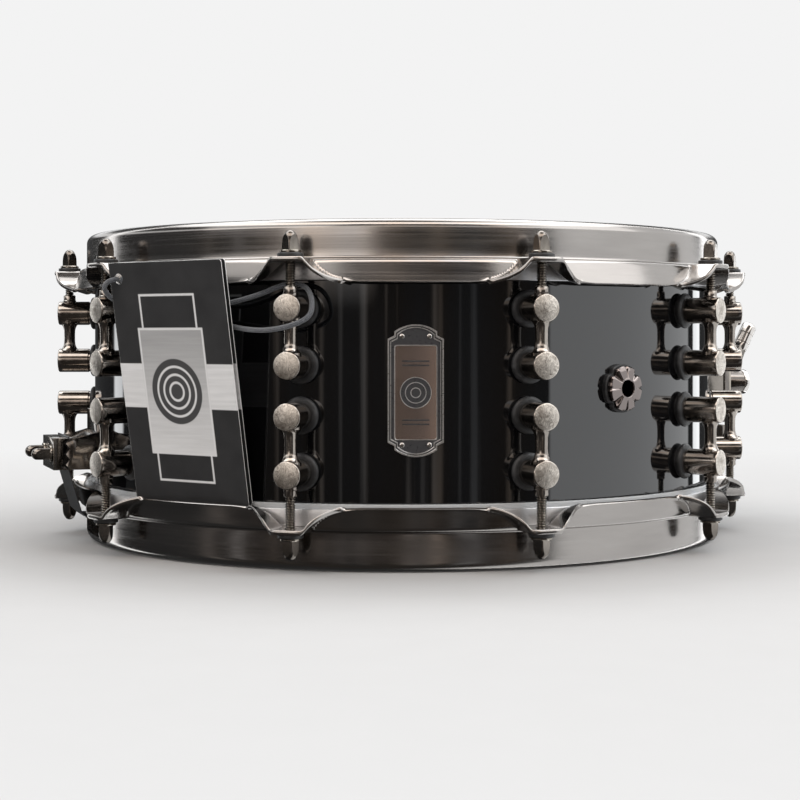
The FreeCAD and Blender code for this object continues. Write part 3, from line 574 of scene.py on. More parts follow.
def braid():
    """Braided elastic cord: two sets of slanted yarns, with a little fuzz."""
    p = Paint("braided_cord")
    spot = p.place()
    u, v, w = p.split(p.place("UV"))
    first = p.math("SINE", p.math("ADD", p.math("MULTIPLY", u, 1900.0), p.math("MULTIPLY", v, 25.13)))
    second = p.math("SINE", p.math("SUBTRACT", p.math("MULTIPLY", u, 1900.0), p.math("MULTIPLY", v, 25.13)))
    weave = p.math("MAXIMUM", first, second)
    fuzz = p.noise(spot, 2600.0, 3.0)
    tone = p.math("ADD", p.math("MULTIPLY", weave, 0.45), p.remap(fuzz, 0.35, 0.65, -0.2, 0.75), clamp=True)
    return p.set(
        Base_Color=p.mix(tone, rgb(0.008, 0.009, 0.011), rgb(0.15, 0.16, 0.18)),
        Roughness=0.8,
        Sheen_Weight=0.3,
        Normal=p.bump(p.math("ADD", weave, fuzz), 0.6, 0.0002),
    ).material


def card_stock():
    p = Paint("card_edge")
    fibre = p.noise(p.place(), 1800.0, 3.0)
    return p.set(
        Base_Color=p.mix(fibre, rgb(0.55, 0.55, 0.54), rgb(0.75, 0.75, 0.74)), Roughness=0.8, Normal=p.bump(fibre, 0.2)
    ).material


def printed_card():
    """Dark grey satin print with a silver band, and a plain framed ring motif on a silver panel."""
    p = Paint("printed_card")
    u, v, w = p.split(p.place("UV"))
    x = p.math("SUBTRACT", u, 0.0365)
    fine = 0.00025

    def within(value, low, high):
        above = p.remap(value, low - fine, low + fine, 0.0, 1.0)
        below = p.remap(value, high - fine, high + fine, 1.0, 0.0)
        return p.math("MULTIPLY", above, below)

    def box(half, low, high):
        side = p.math("ABSOLUTE", x)
        return p.math("MULTIPLY", within(side, -1.0, half), within(v, low, high))

    def outline(half, low, high, line):
        return p.math("SUBTRACT", box(half, low, high), box(half - line, low + line, high - line), clamp=True)

    span = p.noise(p.stretch(p.join(u, v, w), (30, 500, 1)), 1.0, 3.0)
    mottle = p.noise(p.join(u, v, w), 55.0, 3.0)
    grain = p.noise(p.join(u, v, w), 1500.0, 3.0)
    ground = p.mix(p.remap(mottle, 0.3, 0.7, 0.0, 1.0), rgb(0.022, 0.022, 0.023), rgb(0.032, 0.032, 0.033))
    rise = p.remap(v, 0.024, 0.088, 0.0, 1.0)
    silver = p.mix(p.remap(span, 0.3, 0.7, 0.0, 1.0), rgb(0.56, 0.56, 0.56), rgb(0.66, 0.66, 0.66))
    deep = p.mix(p.remap(rise, 0.0, 0.9, 0.0, 0.55), silver, rgb(0.10, 0.10, 0.10))
    line = rgb(0.62, 0.62, 0.62)
    colour = p.mix(within(v, 0.0475, 0.070), ground, silver)
    colour = p.mix(outline(0.0185, 0.010, 0.105, 0.0011), colour, line)
    colour = p.mix(box(0.0215, 0.024, 0.088), colour, deep)
    colour = p.mix(outline(0.0215, 0.024, 0.088, 0.0011), colour, line)
    centre = p.join(x, p.math("SUBTRACT", v, 0.056), 0.0)
    reach = p.node("ShaderNodeVectorMath", outlet="Value", settings={"operation": "LENGTH"}, i0=centre)
    colour = p.mix(within(reach, -1.0, 0.0165), colour, rgb(0.055, 0.055, 0.056))
    for radius in (0.0125, 0.0085, 0.0045):
        colour = p.mix(within(reach, radius - 0.0006, radius + 0.0006), colour, line)
    return p.set(
        Base_Color=colour,
        Roughness=p.remap(grain, 0.3, 0.7, 0.36, 0.5),
        Specular_IOR_Level=0.45,
        Normal=p.bump(grain, 0.12, 0.0001),
    ).material


MAT = {
    "print": printed_card(),
    "lacquer": lacquer(),
    "maple": maple(),
    "hoop": hoop_metal(),
    "lug": dark_nickel("lug_nickel", rgb(0.24, 0.215, 0.195), rgb(0.37, 0.335, 0.30), 0.07),
    "face": brushed_face(),
    "rod": dark_nickel("rod_nickel", rgb(0.11, 0.097, 0.086), rgb(0.21, 0.19, 0.17), 0.12),
    "bracket": dark_nickel("bracket_nickel", rgb(0.13, 0.12, 0.11), rgb(0.22, 0.20, 0.185), 0.10),
    "rubber": rubber(),
    "nylon": nylon(),
    "enamel": enamel(),
    "bright": polished("polished_nickel", rgb(0.66, 0.63, 0.60)),
    "vent": polished("vent_nickel", rgb(0.22, 0.19, 0.18)),
    "silver": steel("badge_silver", rgb(0.72, 0.71, 0.70), 0.3),
    "copper": polished("badge_inset_metal", rgb(0.70, 0.56, 0.50), 0.16),
    "steel": steel(),
    "wire": steel("snare_steel", rgb(0.72, 0.72, 0.72), 0.2),
    "brass": steel("end_plate_plating", rgb(0.55, 0.50, 0.42), 0.25),
    "aluminium": steel("channel_aluminium", rgb(0.74, 0.74, 0.75), 0.35),
    "coated": coated_film(),
    "clear": clear_film(),
    "ribbon": ribbon(),
    "braid": braid(),
    "card": card_stock(),
}


# ---- camera ---------------------------------------------------------------------------------------------------
def look():
    """The reference view: level, a little above the lugs' middle, turned slightly from the badge."""
    turn = math.radians(-2.1)
    distance = 0.98069
    camera = bpy.data.cameras.new("camera")
    camera.lens = 74.98
    camera.sensor_width = 36.0
    camera.shift_x = -0.0027
    camera.shift_y = -0.0786
    camera.clip_start = 0.01
    obj = bpy.data.objects.new("camera", camera)
    obj.location = (distance * math.sin(turn), -distance * math.cos(turn), MIDDLE + 0.0258)
    obj.rotation_euler = (math.radians(90), 0, turn)
    bpy.context.scene.collection.objects.link(obj)
    bpy.context.scene.camera = obj


look()


# ---- cord -----------------------------------------------------------------------------------------------------
# Direction round the drum in degrees, radius and height in millimetres: out of the eyelet, round the tag's left
# edge, behind it, round the lug at -18 degrees and back behind the tag to the eyelet.
CORD_ROUTE = [
    (-46.2, 204.3, 141.9), (-46.4, 208.2, 141.4), (-47.9, 208.5, 139.0), (-49.0, 205.0, 135.0),
    (-48.3, 200.0, 130.5), (-45.5, 193.0, 126.5), (-41.5, 189.8, 124.0), (-37.5, 188.0, 122.0),
    (-29.5, 190.0, 119.0), (-23.5, 196.5, 115.8), (-18.6, 202.3, 116.6), (-14.6, 200.0, 121.5),
    (-14.6, 195.5, 130.5), (-16.2, 189.0, 137.8), (-19.6, 186.6, 138.8), (-24.0, 189.5, 132.5),
    (-30.5, 193.0, 127.5), (-38.5, 193.6, 130.0), (-43.0, 193.0, 134.8), (-45.6, 196.0, 139.3),
    (-46.2, 202.9, 141.9),
]
CORD_DIAMETER = 2.5 * MM


def cord_points():
    found = []
    for direction, radius, z in CORD_ROUTE:
        t = math.radians(direction)
        found.append((radius * MM * math.sin(t), -radius * MM * math.cos(t), z * MM))
    return found


def tag_cord():
    points = cord_points()
    curve = bpy.data.curves.new("tag_elastic", "CURVE")
    curve.dimensions = "3D"
    line = curve.splines.new("NURBS")
    line.points.add(len(points) - 1)
    for point, place in zip(line.points, points):
        point.co = place + (1.0,)
    line.order_u = 3
    line.use_endpoint_u = True
    line.resolution_u = 16
    curve.bevel_depth = CORD_DIAMETER / 2
    curve.bevel_resolution = 6
    curve.use_fill_caps = True
    curve.materials.append(MAT["braid"])
    obj = bpy.data.objects.new("tag_elastic", curve)
    bpy.context.scene.collection.objects.link(obj)
    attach(obj, DRUM)
    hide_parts("tag_cord")
    return obj


# ---- shell ----------------------------------------------------------------------------------------------------
def shell():
    """A lathed tube with bevelled bearing edges, and the vent's hole through it."""
    wall = 7.5 * MM
    inner = SHELL_R - wall
    peak = SHELL_R - 1.0 * MM
    edge = peak - inner
    low, high = SHELL_LOW.z, SHELL_HIGH.z
    outside = [(SHELL_R, low + 1.0 * MM)]
    outside += [(SHELL_R, MIDDLE + z * MM) for z in (-40, -13, 13, 40)]
    outside += [(SHELL_R, high - 1.0 * MM)]
    inside = [(inner, high - edge), (inner, MIDDLE + 13 * MM), (inner, MIDDLE - 13 * MM), (inner, low + edge)]
    profile = outside + [(peak, high)] + inside + [(peak, low)]
    verts, faces = lathe(profile, 400, loop=True)
    tube = Shape().add((verts, faces))
    for i, face in enumerate(tube.faces):
        reach = min(math.hypot(tube.verts[k].x, tube.verts[k].y) for k in face)
        tube.slots[i] = 0 if reach > SHELL_R - 0.5 * MM else 1
    hole = lathe([(0, 0.16), (4.3 * MM, 0.16), (4.3 * MM, 0.19), (0, 0.19)], 48)
    place = around(VENT_SIDE) @ Matrix.Translation((0, 0, MIDDLE))
    drill = Shape().add(along_x(hole), place, 1)
    names = ["lacquer", "maple"]
    mesh = combine("shell_wood", tube.mesh("shell_tube", names), ("DIFFERENCE", drill.mesh("drill", names)), sharp=20)
    return piece("shell_wood", mesh, ["shell"])


# ---- hoops ----------------------------------------------------------------------------------------------------
def hoop_angles():
    """Angles round the drum, close together near each ear and wider apart between them."""
    found = []
    for column in COLUMNS:
        centre = math.radians(column)
        fine = math.radians(9.0)
        pitch = 2 * math.pi / len(COLUMNS)
        near = [centre - fine + 2 * fine * i / 96 for i in range(97)]
        wide = [centre + fine + (pitch - 2 * fine) * i / 16 for i in range(1, 16)]
        found += [(a, centre) for a in near] + [(a, centre if i < 8 else centre + pitch) for i, a in enumerate(wide)]
    return found


def ear_drop(offset):
    """How far the sheet has come down from the ear's level to the skirt's, from 0 to 1."""
    t = max(0.0, abs(offset) - EAR_HALF)
    soft = t * t / (t + 0.6 * MM) if t > 0 else 0.0
    fall = (1 - math.exp(-soft / (8.0 * MM))) / (1 - math.exp(-EAR_FLANK / (8.0 * MM)))
    return min(1.0, fall)


def ear_reach(offset):
    """How far out the sheet's edge stands: the ear's rounded nose, then a sweep back to the skirt."""
    nose, corner, back = 3.6 * MM, 4.2 * MM, 1.1 * MM
    t = abs(offset)
    if t <= nose:
        return EAR_REACH
    if t <= nose + corner:
        u = (t - nose) / corner
        return EAR_REACH - back * (1 - math.sqrt(max(0.0, 1 - u * u)))
    u = min(1.0, (t - nose - corner) / (19.0 * MM))
    return SKIRT_R + (EAR_REACH - back - SKIRT_R) * (1 - u * u * (3 - 2 * u))


def skirt_path():
    """The sheet past the ledge, as (outwards, down): level, a shoulder arc, then a straight sloping flank."""
    lead, bend, turn = 0.6 * MM, 2.6 * MM, math.radians(75)
    path = [(0.0, 0.0), (lead, 0.0)]
    for i in range(1, 9):
        t = turn * i / 8
        path.append((lead + bend * math.sin(t), bend * (1 - math.cos(t))))
    path.append((SKIRT_R - HOOP_WALL_R - 1.2 * MM, SKIRT_DROP))
    return path


def down_to(path, depth):
    """The part of a falling path above a depth."""
    kept = [path[0]]
    for a, b in zip(path, path[1:]):
        if b[1] > depth:
            share = (depth - a[1]) / (b[1] - a[1])
            kept.append((a[0] + (b[0] - a[0]) * share, depth))
            return kept
        kept.append(b)
    return kept


def evenly(path, count):
    """Points at equal distances along a path."""
    lengths = [math.dist(a, b) for a, b in zip(path, path[1:])]
    total = sum(lengths)
    found = []
    for i in range(count):
        left = total * i / (count - 1)
        for (a, b), length in zip(zip(path, path[1:]), lengths):
            if left <= length + 1e-12:
                share = left / length if length else 0.0
                found.append((a[0] + (b[0] - a[0]) * share, a[1] + (b[1] - a[1]) * share))
                break
            left -= length
        else:
            found.append(path[-1])
    return found


def lip_and_wall(radius, depth):
    """The rolled rim and the wall's outer face, or with less radius its inner face, from the lip down."""
    centre = HOOP_WALL_R - LIP_R
    found = []
    for i in range(13):
        t = math.radians(90 - 90 * i / 12)
        found.append((centre + radius * math.cos(t), LIP_R - radius * math.sin(t)))
    return found + [(centre + radius, depth * share) for share in (0.55, 0.8, 1.0)]


def hoop_section(offset):
    """The closed section at an offset from an ear, as (radius, depth below the rim), lip first."""
    soft = 0.45 * MM
    fillet = 1.2 * MM
    base = HOOP_WALL_R + fillet
    points = [(LIP_INNER, SHEET / 2), (LIP_INNER + soft * 0.3, soft * 0.4), (LIP_INNER + soft, 0.0)]
    points += lip_and_wall(LIP_R, WALL_HEIGHT - fillet)
    for i in range(1, 6):
        t = math.radians(90 * i / 5)
        points.append((HOOP_WALL_R + fillet * (1 - math.cos(t)), WALL_HEIGHT - fillet * (1 - math.sin(t))))
    path = down_to(skirt_path(), SKIRT_DROP * ear_drop(offset))
    out = max(ear_reach(offset) - base, path[-1][0] + 0.05 * MM)
    path = evenly(path + [(out, path[-1][1])], 16)[1:]
    outer = [(base + r, WALL_HEIGHT + z) for r, z in path]
    inner = []
    for i, (r, z) in enumerate(outer):
        before = outer[i - 1] if i else (base, WALL_HEIGHT)
        after = outer[min(i + 1, len(outer) - 1)]
        run = Vector((after[0] - before[0], after[1] - before[1])).normalized()
        inner.append((r - run.y * SHEET, z + run.x * SHEET))
    last, under = Vector(outer[-1]), Vector(inner[-1])
    ahead = (last - Vector(outer[-2])).normalized() * 0.35 * MM
    nose = [tuple(last.lerp(under, t) + ahead * bulge) for t, bulge in ((0.15, 0.6), (0.5, 1.0), (0.85, 0.6))]
    points += outer + nose + inner[::-1]
    throat = HOOP_WALL_R - SHEET
    points += [(throat + 1.4 * MM, WALL_HEIGHT + SHEET), (throat + 0.4 * MM, WALL_HEIGHT + SHEET - 0.6 * MM)]
    points += lip_and_wall(LIP_R - SHEET, WALL_HEIGHT + SHEET - 1.6 * MM)[::-1]
    return points + [(LIP_INNER + soft, SHEET), (LIP_INNER + soft * 0.3, SHEET - soft * 0.4)]


def hoop_mesh(name, rim, down):
    rows = []
    for angle, centre in hoop_angles():
        offset = (angle - centre) * ROD_CIRCLE
        x, y = math.sin(angle), -math.cos(angle)
        rows.append([(r * x, r * y, rim + down * z) for r, z in hoop_section(offset)])
    ring = Shape().add(grid(rows, wrap_rows=True, wrap_columns=True))
    tools = Shape()
    ledge = rim + down * WALL_HEIGHT
    for column in COLUMNS:
        hole = lathe([(0, -5 * MM), (3.2 * MM, -5 * MM), (3.2 * MM, 5 * MM), (0, 5 * MM)], 32)
        tools.add(hole, around(column) @ Matrix.Translation((ROD_CIRCLE, 0, ledge)))
    if down > 0:
        for side in (SNARE_SIDE, THROW_SIDE):
            tools.add(window(), around(side))
    return combine(name, ring.mesh(name, ["hoop"]), ("DIFFERENCE", tools.mesh("tool", ["hoop"])), sharp=42)


def window():
    """The rounded gate that a snare strap passes through."""
    half, low, high = 22 * MM, 4.6 * MM, 17.0 * MM
    outline = rounded([(-half, low), (half, low), (half, high), (-half, high)], 2.5 * MM, 5, closed=True)
    verts, faces = prism(outline, 8 * MM, "X")
    return [(x + 181 * MM, y, z) for x, y, z in verts], faces


def hoops():
    piece("batter_rim", hoop_mesh("batter_rim", HOOP_TOP, -1), ["batter_hoop"])
    piece("snare_side_rim", hoop_mesh("snare_side_rim", SNARE_LOW.z, 1), ["snare_side_hoop"])


# ---- heads and flesh hoops --------------------------------------------------------------------------------------
def film_profile(edge, film, low):
    """Film over the bearing edge and down into its flesh hoop, with heights in millimetres."""
    bend = low + 6.6
    return rounded([
        (176.4, edge), (178.2, edge - 1.4), (178.3, bend + 1.8), (180.4, bend), (180.4, low + 4.4),
        (179.8, low + 4.4), (179.8, low + 1.3), (181.8, low + 1.3), (181.8, low + 4.4), (180.4 + film, low + 4.4),
        (180.4 + film, bend + film), (178.3 + film, bend + 1.8 + film), (178.2 + film, edge - 1.4 + film),
        (176.4, edge + film),
    ], 0.7, 3)


def film_head(name, edge, film, low, material, node, matrix=None):
    body = film_profile(edge, film, low)
    rings = [(r, edge) for r in (0, 40, 80, 120, 150, 168)]
    back = [(r, edge + film) for r in (168, 150, 120, 80, 40, 0)]
    profile = [(r * MM, z * MM) for r, z in rings + body + back]
    mesh = Shape().add(lathe(profile, 288), matrix).mesh(name, [material], sharp=40)
    return piece(name, mesh, [node])


def channel(name, node, matrix=None):
    """The rolled channel that grips a head's edge."""
    top = 148.7
    low = top - 8.4
    outline = rounded([
        (178.5, low), (183.1, low), (183.1, top), (181.9, top), (181.9, low + 1.2), (179.7, low + 1.2),
        (179.7, low + 5.4), (178.5, low + 5.4),
    ], 0.35, 3, closed=True)
    profile = [(r * MM, z * MM) for r, z in outline]
    mesh = Shape().add(lathe(profile, 288, loop=True), matrix).mesh(name, ["aluminium"], sharp=40)
    return piece(name, mesh, [node])


def heads():
    flip = upside_down(2 * MIDDLE)
    film_head("batter_film", 157.0, 0.25, 140.3, "coated", "batter_head")
    film_head("snare_side_film", 157.0, 0.12, 140.3, "clear", "snare_side_head", flip)
    channel("batter_channel", "batter_flesh_hoop")
    channel("snare_side_channel", "snare_side_flesh_hoop", upside_down(HOOP_TOP))


# ---- lugs -------------------------------------------------------------------------------------------------------
def post(z):
    """A post along X with a low domed face, and a shallow groove by the gasket."""
    back = SHELL_R + GASKET_THICK - 1.5 * MM
    soft = 0.75 * MM
    profile = [(0, back), (POST_R - 0.5 * MM, back), (POST_R - 0.5 * MM, back + 2.3 * MM), (POST_R, back + 2.8 * MM)]
    rim = POST_FACE - FACE_DOME
    profile += [(POST_R, back + 8 * MM), (POST_R, rim - soft - 2 * MM)]
    for i in range(7):
        t = math.radians(90 * i / 6)
        profile.append((POST_R - soft + soft * math.cos(t), rim - soft + soft * math.sin(t)))
    for i in range(1, 9):
        share = 1 - i / 8
        profile.append(((POST_R - soft) * share, POST_FACE - FACE_DOME * share ** 2))
    part = along_x(lathe(profile, 72))
    return part, Matrix.Translation((0, 0, MIDDLE + z))


def lug_mesh():
    """Two posts joined by a waisted barrel, with the rod's collar above and its bore."""
    names = ["lug", "face"]
    half = (POST_OUT - POST_IN) / 2
    centre = MIDDLE + (POST_OUT + POST_IN) / 2
    meshes = []
    for z in (POST_OUT, POST_IN):
        part, place = post(z)
        shape = Shape().add(part, place)
        for i, face in enumerate(shape.faces):
            if min(shape.verts[k].x for k in face) > POST_FACE - FACE_DOME - 0.2 * MM:
                shape.slots[i] = 1
        meshes.append(shape.mesh("post", names))
    barrel = [(0, -half)]
    for i in range(33):
        t = -1 + 2 * i / 32
        radius = WAIST_R + (FLARE_R - WAIST_R) * abs(t) ** 4
        barrel.append((radius, t * (half - 5.9 * MM)))
    barrel = [(0, -half), (FLARE_R, -half)] + barrel[1:] + [(FLARE_R, half), (0, half)]
    place = Matrix.Translation((ROD_CIRCLE, 0, centre))
    meshes.append(Shape().add(lathe(barrel, 56), place).mesh("barrel", names))
    top = COLLAR_TOP
    neck = [
        (0, POST_OUT), (COLLAR_R + 0.35 * MM, POST_OUT), (COLLAR_R + 0.35 * MM, POST_OUT + 7.2 * MM),
        (COLLAR_R, POST_OUT + 7.6 * MM), (COLLAR_R, top - 0.6 * MM), (COLLAR_R - 0.15 * MM, top - 0.2 * MM),
        (COLLAR_R - 0.5 * MM, top), (0, top),
    ]
    place = Matrix.Translation((ROD_CIRCLE, 0, MIDDLE))
    meshes.append(Shape().add(lathe(neck, 48), place).mesh("neck", names))
    bore = lathe([(0, top - 17.5 * MM), (2.56 * MM, top - 17.5 * MM), (2.56 * MM, top + MM), (0, top + MM)], 40)
    drill = Shape().add(bore, place).mesh("bore", names)
    steps = [("UNION", mesh) for mesh in meshes[1:]] + [("DIFFERENCE", drill)]
    return combine("lug", meshes[0], *steps, sharp=34)


def repeated(mesh, name, matrices, materials, sharp=34):
    """One mesh that holds a copy of a mesh at each matrix."""
    made = bmesh.new()
    for matrix in matrices:
        copy = mesh.copy()
        copy.transform(matrix)
        if matrix.determinant() < 0:
            copy.flip_normals()
        made.from_mesh(copy)
        bpy.data.meshes.remove(copy)
    result = bpy.data.meshes.new(name)
    made.to_mesh(result)
    made.free()
    for item in materials:
        result.materials.append(MAT[item])
    finish_shading(result, sharp)
    return result


def lugs():
    one = lug_mesh()
    flip = upside_down(2 * MIDDLE)
    upper = [around(c) for c in COLUMNS]
    lower = [around(c) @ flip for c in COLUMNS]
    names = ["lug", "face"]
    piece("batter_side_lugs", repeated(one, "batter_side_lugs", upper, names), ["batter_lugs"])
    piece("snare_side_row_lugs", repeated(one, "snare_side_row_lugs", lower, names), ["snare_side_lugs"])


def gaskets():
    """A moulded ring behind each post, bulging between the shell and the post."""
    front = SHELL_R + GASKET_THICK
    outline = rounded([
        (0, SHELL_R - 0.8 * MM), (GASKET_R - 1.1 * MM, SHELL_R - 0.8 * MM), (GASKET_R - 1.1 * MM, SHELL_R + 0.4 * MM),
        (GASKET_R, SHELL_R + 1.6 * MM), (GASKET_R, SHELL_R + 3.0 * MM), (GASKET_R - 1.3 * MM, front), (0, front),
    ], 0.9 * MM, 4)
    ring = Shape().add(along_x(lathe(outline, 56))).mesh("gasket", ["rubber"])
    places = []
    for column in COLUMNS:
        for z in (-POST_OUT, -POST_IN, POST_IN, POST_OUT):
            places.append(around(column) @ Matrix.Translation((0, 0, MIDDLE + z)))
    piece("post_gaskets", repeated(ring, "post_gaskets", places, ["rubber"]), ["lug_gaskets"])


# ---- tension rods -------------------------------------------------------------------------------------------------
def key_head(height, turn=0.0):
    """A square head whose corners are turned to a bullet, so each flat ends in an arch."""
    base = 4.05 * MM
    bullet = [(0, 0), (base, 0)]
    for i in range(1, 29):
        t = i / 28
        bullet.append((base * math.sqrt(max(0.0, 1 - t ** 3.2)), height * t))
    bullet[-1] = (0, height)
    flat = 6.1 * MM / 2
    names = ["rod"]
    square = Shape().add(box_part((-flat, -flat, -1 * MM), (flat, flat, height + MM)), Matrix.Rotation(turn, 4, "Z"))
    solid = Shape().add(lathe(bullet, 96)).mesh("bullet", names)
    made = combine("key_head", solid, ("INTERSECT", square.mesh("square", names)), sharp=24)
    return made


def thread(low, high, turns_per_mm=0.8):
    """A screw thread as a spiral grid, closed at both ends."""
    columns = 28
    steps = int((high - low) / MM * 7)
    rows = []
    for i in range(steps + 1):
        z = low + (high - low) * i / steps
        fade = min(1.0, (z - low) / (0.8 * MM), (high - z) / (0.8 * MM))
        row = []
        for j in range(columns):
            t = 2 * math.pi * j / columns
            phase = ((z / MM) * turns_per_mm - j / columns) % 1.0
            crest = abs(2 * phase - 1)
            radius = ROD_R - 0.68 * MM * fade * (1 - min(1.0, crest * 1.25))
            row.append((radius * math.cos(t), radius * math.sin(t), z))
        rows.append(row)
    verts, faces = grid(rows, wrap_columns=True)
    return verts, faces + [list(range(columns))[::-1], list(range(steps * columns, (steps + 1) * columns))]


def rod_mesh():
    """A batter-side rod about its own axis, at its real heights."""
    seat = HOOP_TOP - WALL_HEIGHT + WASHER_THICK
    end = MIDDLE + COLLAR_TOP - 16.5 * MM
    flange_r, flange = 5.2 * MM, 1.4 * MM
    shape = Shape()
    ledge = HOOP_TOP - WALL_HEIGHT
    shape.add(thread(end, ledge - 0.4 * MM))
    shape.add(lathe([(0, ledge - 0.9 * MM), (ROD_R, ledge - 0.9 * MM), (ROD_R, seat + 0.3 * MM), (0, seat + 0.3 * MM)], 28))
    soft = 0.35 * MM
    rim = [(0, seat), (flange_r - soft, seat), (flange_r, seat + soft), (flange_r, seat + flange - soft)]
    rim += [(flange_r - soft, seat + flange), (4.3 * MM, seat + flange + 0.1 * MM), (0, seat + flange + 0.1 * MM)]
    shape.add(lathe(rim, 48))
    made = bmesh.new()
    made.from_mesh(shape.mesh("shank", ["rod"]))
    head = key_head(9.6 * MM)
    head.transform(Matrix.Translation((0, 0, seat + flange)))
    made.from_mesh(head)
    mesh = bpy.data.meshes.new("tension_rod")
    made.to_mesh(mesh)
    made.free()
    mesh.materials.append(MAT["rod"])
    finish_shading(mesh, 26)
    return mesh


def rods():
    upper = rod_mesh()
    lower = upper.copy()
    lower.transform(upside_down(HOOP_TOP))
    lower.flip_normals()
    finish_shading(lower, 26)
    random.seed(11)
    for number, column in enumerate(COLUMNS, 1):
        for side, mesh in (("batter", upper), ("snare_side", lower)):
            name = f"{side}_rod_{number:02d}"
            turn = Matrix.Rotation(random.uniform(0, math.pi / 2), 4, "Z")
            place = around(column) @ Matrix.Translation((ROD_CIRCLE, 0, 0)) @ turn
            piece(name + "_key_rod", mesh, [name], body=name, matrix=place)


def washers():
    seat = HOOP_TOP - WALL_HEIGHT
    outline = rounded([
        (2.56 * MM, seat), (6.3 * MM, seat), (6.3 * MM, seat + WASHER_THICK), (2.56 * MM, seat + WASHER_THICK),
    ], 0.4 * MM, 3, closed=True)
    ring = Shape().add(lathe(outline, 44, loop=True)).mesh("washer", ["nylon"])
    places = []
    for column in COLUMNS:
        place = around(column) @ Matrix.Translation((ROD_CIRCLE, 0, 0))
        places += [place, place @ upside_down(HOOP_TOP)]
    piece("rod_washers", repeated(ring, "rod_washers", places, ["nylon"]), ["tension_washers"])


# ---- badge ------------------------------------------------------------------------------------------------------
def badge_outline(inset, steps=10):
    """Arched ends with a shoulder where the sides step out, as (x, height) in metres, anticlockwise."""
    half = (13.5 - inset) * MM
    neck = (13.5 - 3.2 - inset) * MM
    shoulder = (32.0 - 7.0 - inset) * MM
    spring = (32.0 - 3.4 - inset) * MM
    tip = (32.0 - inset) * MM
    rise = tip - spring
    radius = (neck * neck + rise * rise) / (2 * rise)
    swing = math.asin(neck / radius)
    top = []
    for i in range(steps + 1):
        t = swing - 2 * swing * i / steps
        top.append((radius * math.sin(t), tip - radius + radius * math.cos(t)))
    right = [(half, -shoulder), (half, shoulder), (neck, shoulder + 1.6 * MM)]
    left = [(-neck, shoulder + 1.6 * MM), (-half, shoulder), (-half, -shoulder), (-neck, -shoulder - 1.6 * MM)]
    bottom = [(-x, -z) for x, z in top]
    return right + top + left + bottom + [(neck, -shoulder - 1.6 * MM)]


def bent(part):
    """Bends a part drawn as (x, radius, height) round the shell at the badge."""
    verts = []
    for x, r, z in part[0]:
        turn = x / SHELL_R
        verts.append((r * math.sin(turn), -r * math.cos(turn), MIDDLE + z))
    return verts, part[1]


def ribbed(outline, low, high, step=1.2 * MM):
    """A plate from a flat outline, cut into strips so that it can bend round the shell."""
    work = bmesh.new()
    face = work.faces.new([work.verts.new((x, low, z)) for x, z in outline])
    made = bmesh.ops.extrude_face_region(work, geom=[face])
    for item in made["geom"]:
        if isinstance(item, bmesh.types.BMVert):
            item.co.y = high
    reach = max(abs(x) for x, _ in outline)
    for i in range(-int(reach / step), int(reach / step) + 1):
        everything = work.verts[:] + work.edges[:] + work.faces[:]
        bmesh.ops.bisect_plane(work, geom=everything, plane_co=(i * step, 0, 0), plane_no=(1, 0, 0), dist=1e-7)
    work.verts.index_update()
    result = [tuple(v.co) for v in work.verts], [[v.index for v in f.verts] for f in work.faces]
    work.free()
    return result


def band(outer, inner, low, high, soft=0.12 * MM):
    """A raised line between two outlines of the same number of points."""
    rows = []
    for (a, b), (c, d) in zip(outer, inner):
        run = Vector((c - a, d - b))
        share = min(0.4, soft / max(run.length, 1e-9))
        p = Vector((a, b)) + run * share
        q = Vector((c, d)) - run * share
        rows.append([(a, low, b), (a, high - soft, b), (p.x, high, p.y), (q.x, high, q.y), (c, high - soft, d), (c, low, d)])
    return grid(rows, wrap_rows=True, wrap_columns=True)


def circle(cx, cz, radius, steps=48):
    return [(cx + radius * math.cos(2 * math.pi * i / steps), cz + radius * math.sin(2 * math.pi * i / steps))
            for i in range(steps)]


def badge():
    """A nickel frame over a dark field, with a polished inset that holds a plain ring motif."""
    base, field, line = SHELL_R + 0.02 * MM, SHELL_R + 0.75 * MM, SHELL_R + 1.3 * MM
    shape = Shape()
    shape.add(bent(ribbed(badge_outline(0.3), base, field)), slot=1)
    shape.add(bent(band(badge_outline(0), badge_outline(0.75), base, line)))
    shape.add(bent(band(badge_outline(1.25), badge_outline(1.7), field - 0.2 * MM, line - 0.15 * MM)))
    half, low, high = 9.9 * MM, -23.4 * MM, 21.6 * MM
    inset = rounded([(-half, low), (half, low), (half, high), (-half, high)], 1.2 * MM, 4, closed=True)
    shape.add(bent(ribbed(inset, field - 0.2 * MM, field + 0.2 * MM)), slot=2)
    edge = 0.5 * MM
    border = rounded([
        (-half - edge, low - edge), (half + edge, low - edge), (half + edge, high + edge), (-half - edge, high + edge),
    ], 1.4 * MM, 4, closed=True)
    shape.add(bent(band(border, inset, field - 0.2 * MM, line - 0.1 * MM)))
    middle = -1.0 * MM
    disc = circle(0, middle, 7.6 * MM)
    shape.add(bent(ribbed(disc, field, field + 0.32 * MM)), slot=1)
    for radius, width in ((7.6, 0.35), (5.2, 0.45), (2.6, 0.5)):
        outer = circle(0, middle, radius * MM)
        inner = circle(0, middle, (radius - width) * MM)
        shape.add(bent(band(outer, inner, field, field + 0.5 * MM, 0.08 * MM)))
    for z in (14.2, 12.2, -14.2, -16.2):
        bar = [(-6.5 * MM, z * MM - 0.35 * MM), (6.5 * MM, z * MM - 0.35 * MM), (6.5 * MM, z * MM + 0.35 * MM), (-6.5 * MM, z * MM + 0.35 * MM)]
        shape.add(bent(ribbed(bar, field, field + 0.32 * MM)), slot=1)
    piece("badge", shape.mesh("badge", ["silver", "enamel", "copper"], sharp=28), ["badge_plate"])


